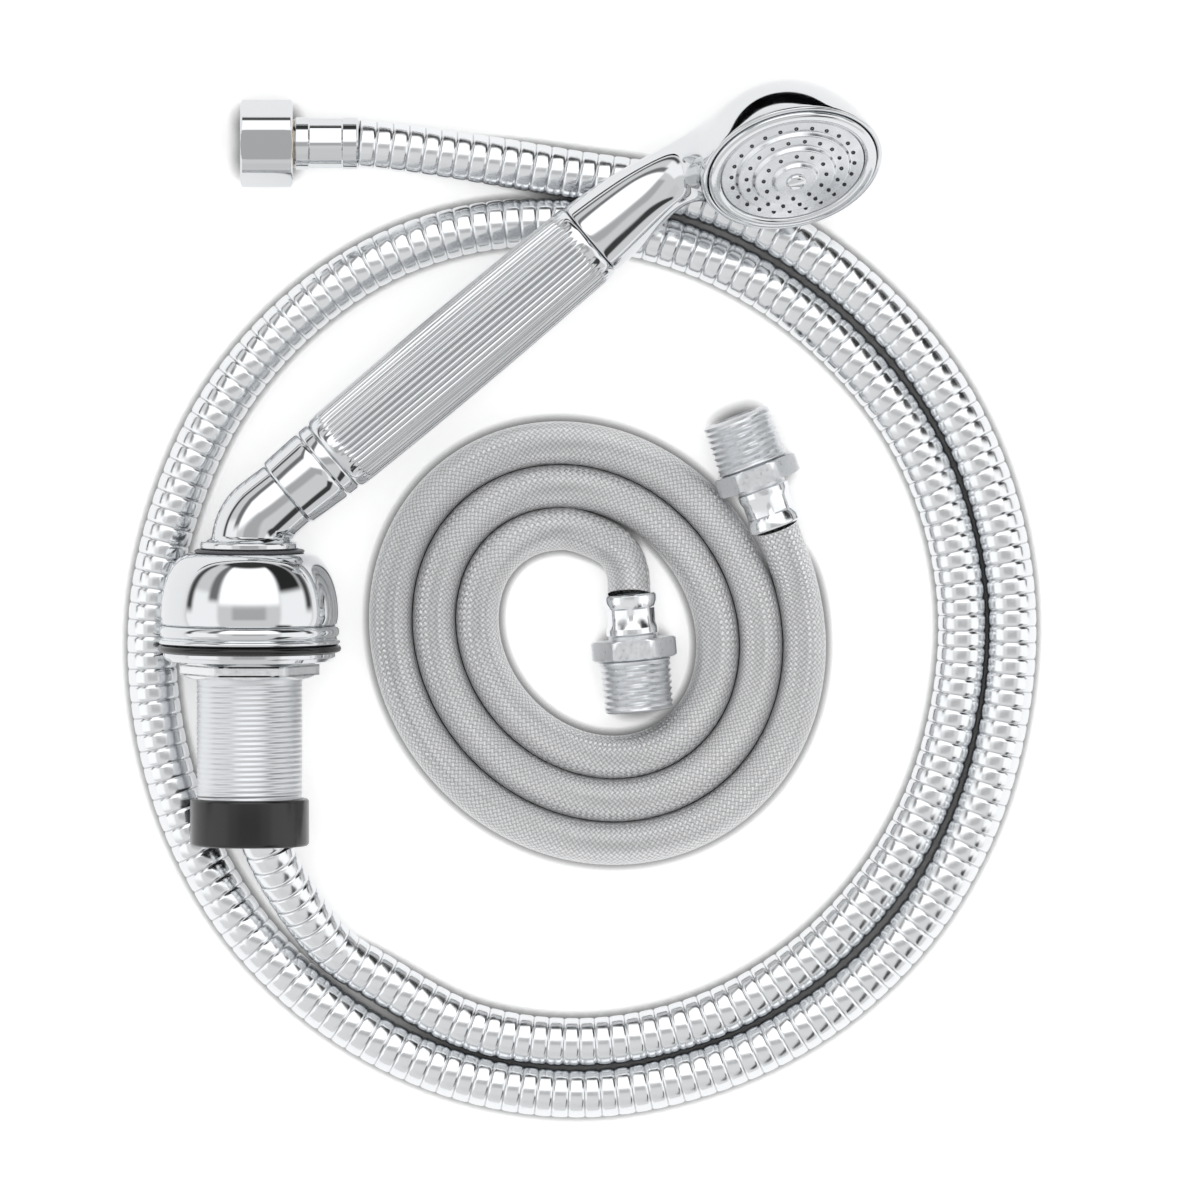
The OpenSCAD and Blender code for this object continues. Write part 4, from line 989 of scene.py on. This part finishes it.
def makeCard(s):
    bm = bmesh.new()
    bmesh.ops.create_grid(bm, x_segments=1, y_segments=1, size=1.0)
    bmesh.ops.scale(bm, vec=(s["halfWidth"], s["halfDepth"], 1), verts=bm.verts)
    material, tree = emptyMaterial("blackCard")
    paper = addNode(tree, "ShaderNodeBsdfDiffuse", {"Color": linear(s["colour"])})
    addNode(tree, "ShaderNodeOutputMaterial", {"Surface": paper.outputs[0]})
    board = finishPiece("card", bm, move(*overFloor(*s["centre"], s["above"])), material, None)
    # only mirrored: it is in no view, and the floor under it stays lit
    board.visible_camera = board.visible_diffuse = board.visible_shadow = False


makeCard(card)

lamps = {  # place in metres, power in watts and size in metres
    "overhead": ((0.05, 0.15, 1.4), 5.5, 0.9),
    "fill": ((0.7, -0.7, 0.9), 1.925, 0.7),
}


def makeLamp(name, at, power, size):
    data = bpy.data.lights.new(name, "AREA")
    data.energy = power
    data.size = size
    lamp = bpy.data.objects.new(name, data)
    bpy.context.collection.objects.link(lamp)
    lamp.location = at
    lamp.rotation_euler = (Vector((0.1, 0, 0)) - Vector(at)).to_track_quat("-Z", "Y").to_euler()
    lamp.visible_glossy = False  # metal shows the surroundings instead of the lamp


for name, (at, power, size) in lamps.items():
    makeLamp(name, at, power, size)

surroundings = {
    "fill": 0.55,  # light on what isn't a mirror
    "tent": 0.84,
    "soft": 4.0,  # degrees over which a panel's edge fades
    "panels": [  # brightness; middle and half width in degrees across (X) and along (Y) from overhead
        (1.55, 0, 41, 37, 28),  # window
        (0.55, 0, 22, -2, 9),  # ceiling over the camera
        (1.25, 66, 24, -4, 24),  # white boards at both sides
        (1.25, -66, 24, -4, 24),
        (0.03, 60, 17, 48, 26),  # black flag on the right
        (0.22, -49, 7, 48, 36),  # grey edge of the window on the left
        (0.05, 0, 80, 78, 12),  # black bar beyond the window
        (0.06, 49, 11, -44, 20),  # black flag at the lower right
        (0.78, 0, 36, -58, 12),  # grey panel towards the viewer
        (0.08, 85, 5, 32, 30),  # dark seams low at both sides
        (0.08, -85, 5, 32, 30),
    ],
}


def makeWorld(s):
    # a pale tent with a white window overhead and boards and flags round it, as chrome is lit in a studio
    world = bpy.data.worlds.new("tent")
    bpy.context.scene.world = world
    world.use_nodes = True
    tree = world.node_tree
    tree.nodes.clear()
    direction = addNode(tree, "ShaderNodeTexCoord").outputs["Generated"]
    split = addNode(tree, "ShaderNodeSeparateXYZ", {"Vector": direction})
    across = addNode(tree, "ShaderNodeMath", {
        0: split.outputs["X"], 1: split.outputs["Z"]}, operation="ARCTAN2").outputs[0]
    along = addNode(tree, "ShaderNodeMath", {0: split.outputs["Y"]}, operation="ARCSINE").outputs[0]

    def within(angle, middle, half):
        off = addNode(tree, "ShaderNodeMath", {0: angle, 1: math.radians(middle)}, operation="SUBTRACT")
        off = addNode(tree, "ShaderNodeMath", {0: off.outputs[0]}, operation="ABSOLUTE")
        return addNode(tree, "ShaderNodeMapRange", {
            "Value": off.outputs[0], "From Min": math.radians(half - s["soft"]),
            "From Max": math.radians(half + s["soft"]), "To Min": 1.0, "To Max": 0.0},
            interpolation_type="SMOOTHSTEP").outputs["Result"]

    light = s["tent"]
    for value, middleX, halfX, middleY, halfY in s["panels"]:
        mask = addNode(tree, "ShaderNodeMath", {
            0: within(across, middleX, halfX), 1: within(along, middleY, halfY)}, operation="MULTIPLY")
        light = addNode(tree, "ShaderNodeMix", {"Factor": mask.outputs[0], "A": light, "B": value}).outputs["Result"]
    rays = addNode(tree, "ShaderNodeLightPath")
    mirrored, white, fill = (
        addNode(tree, "ShaderNodeBackground", {"Color": (1, 1, 1, 1), "Strength": strength}).outputs[0]
        for strength in (light, 1.0, s["fill"]))
    glossy = addNode(tree, "ShaderNodeMixShader", {0: rays.outputs["Is Glossy Ray"], 1: fill, 2: mirrored})
    seen = addNode(tree, "ShaderNodeMixShader", {0: rays.outputs["Is Camera Ray"], 1: glossy.outputs[0], 2: white})
    addNode(tree, "ShaderNodeOutputWorld", {"Surface": seen.outputs[0]})


makeWorld(surroundings)
bpy.context.scene.view_settings.view_transform = "Standard"
print("studio made")
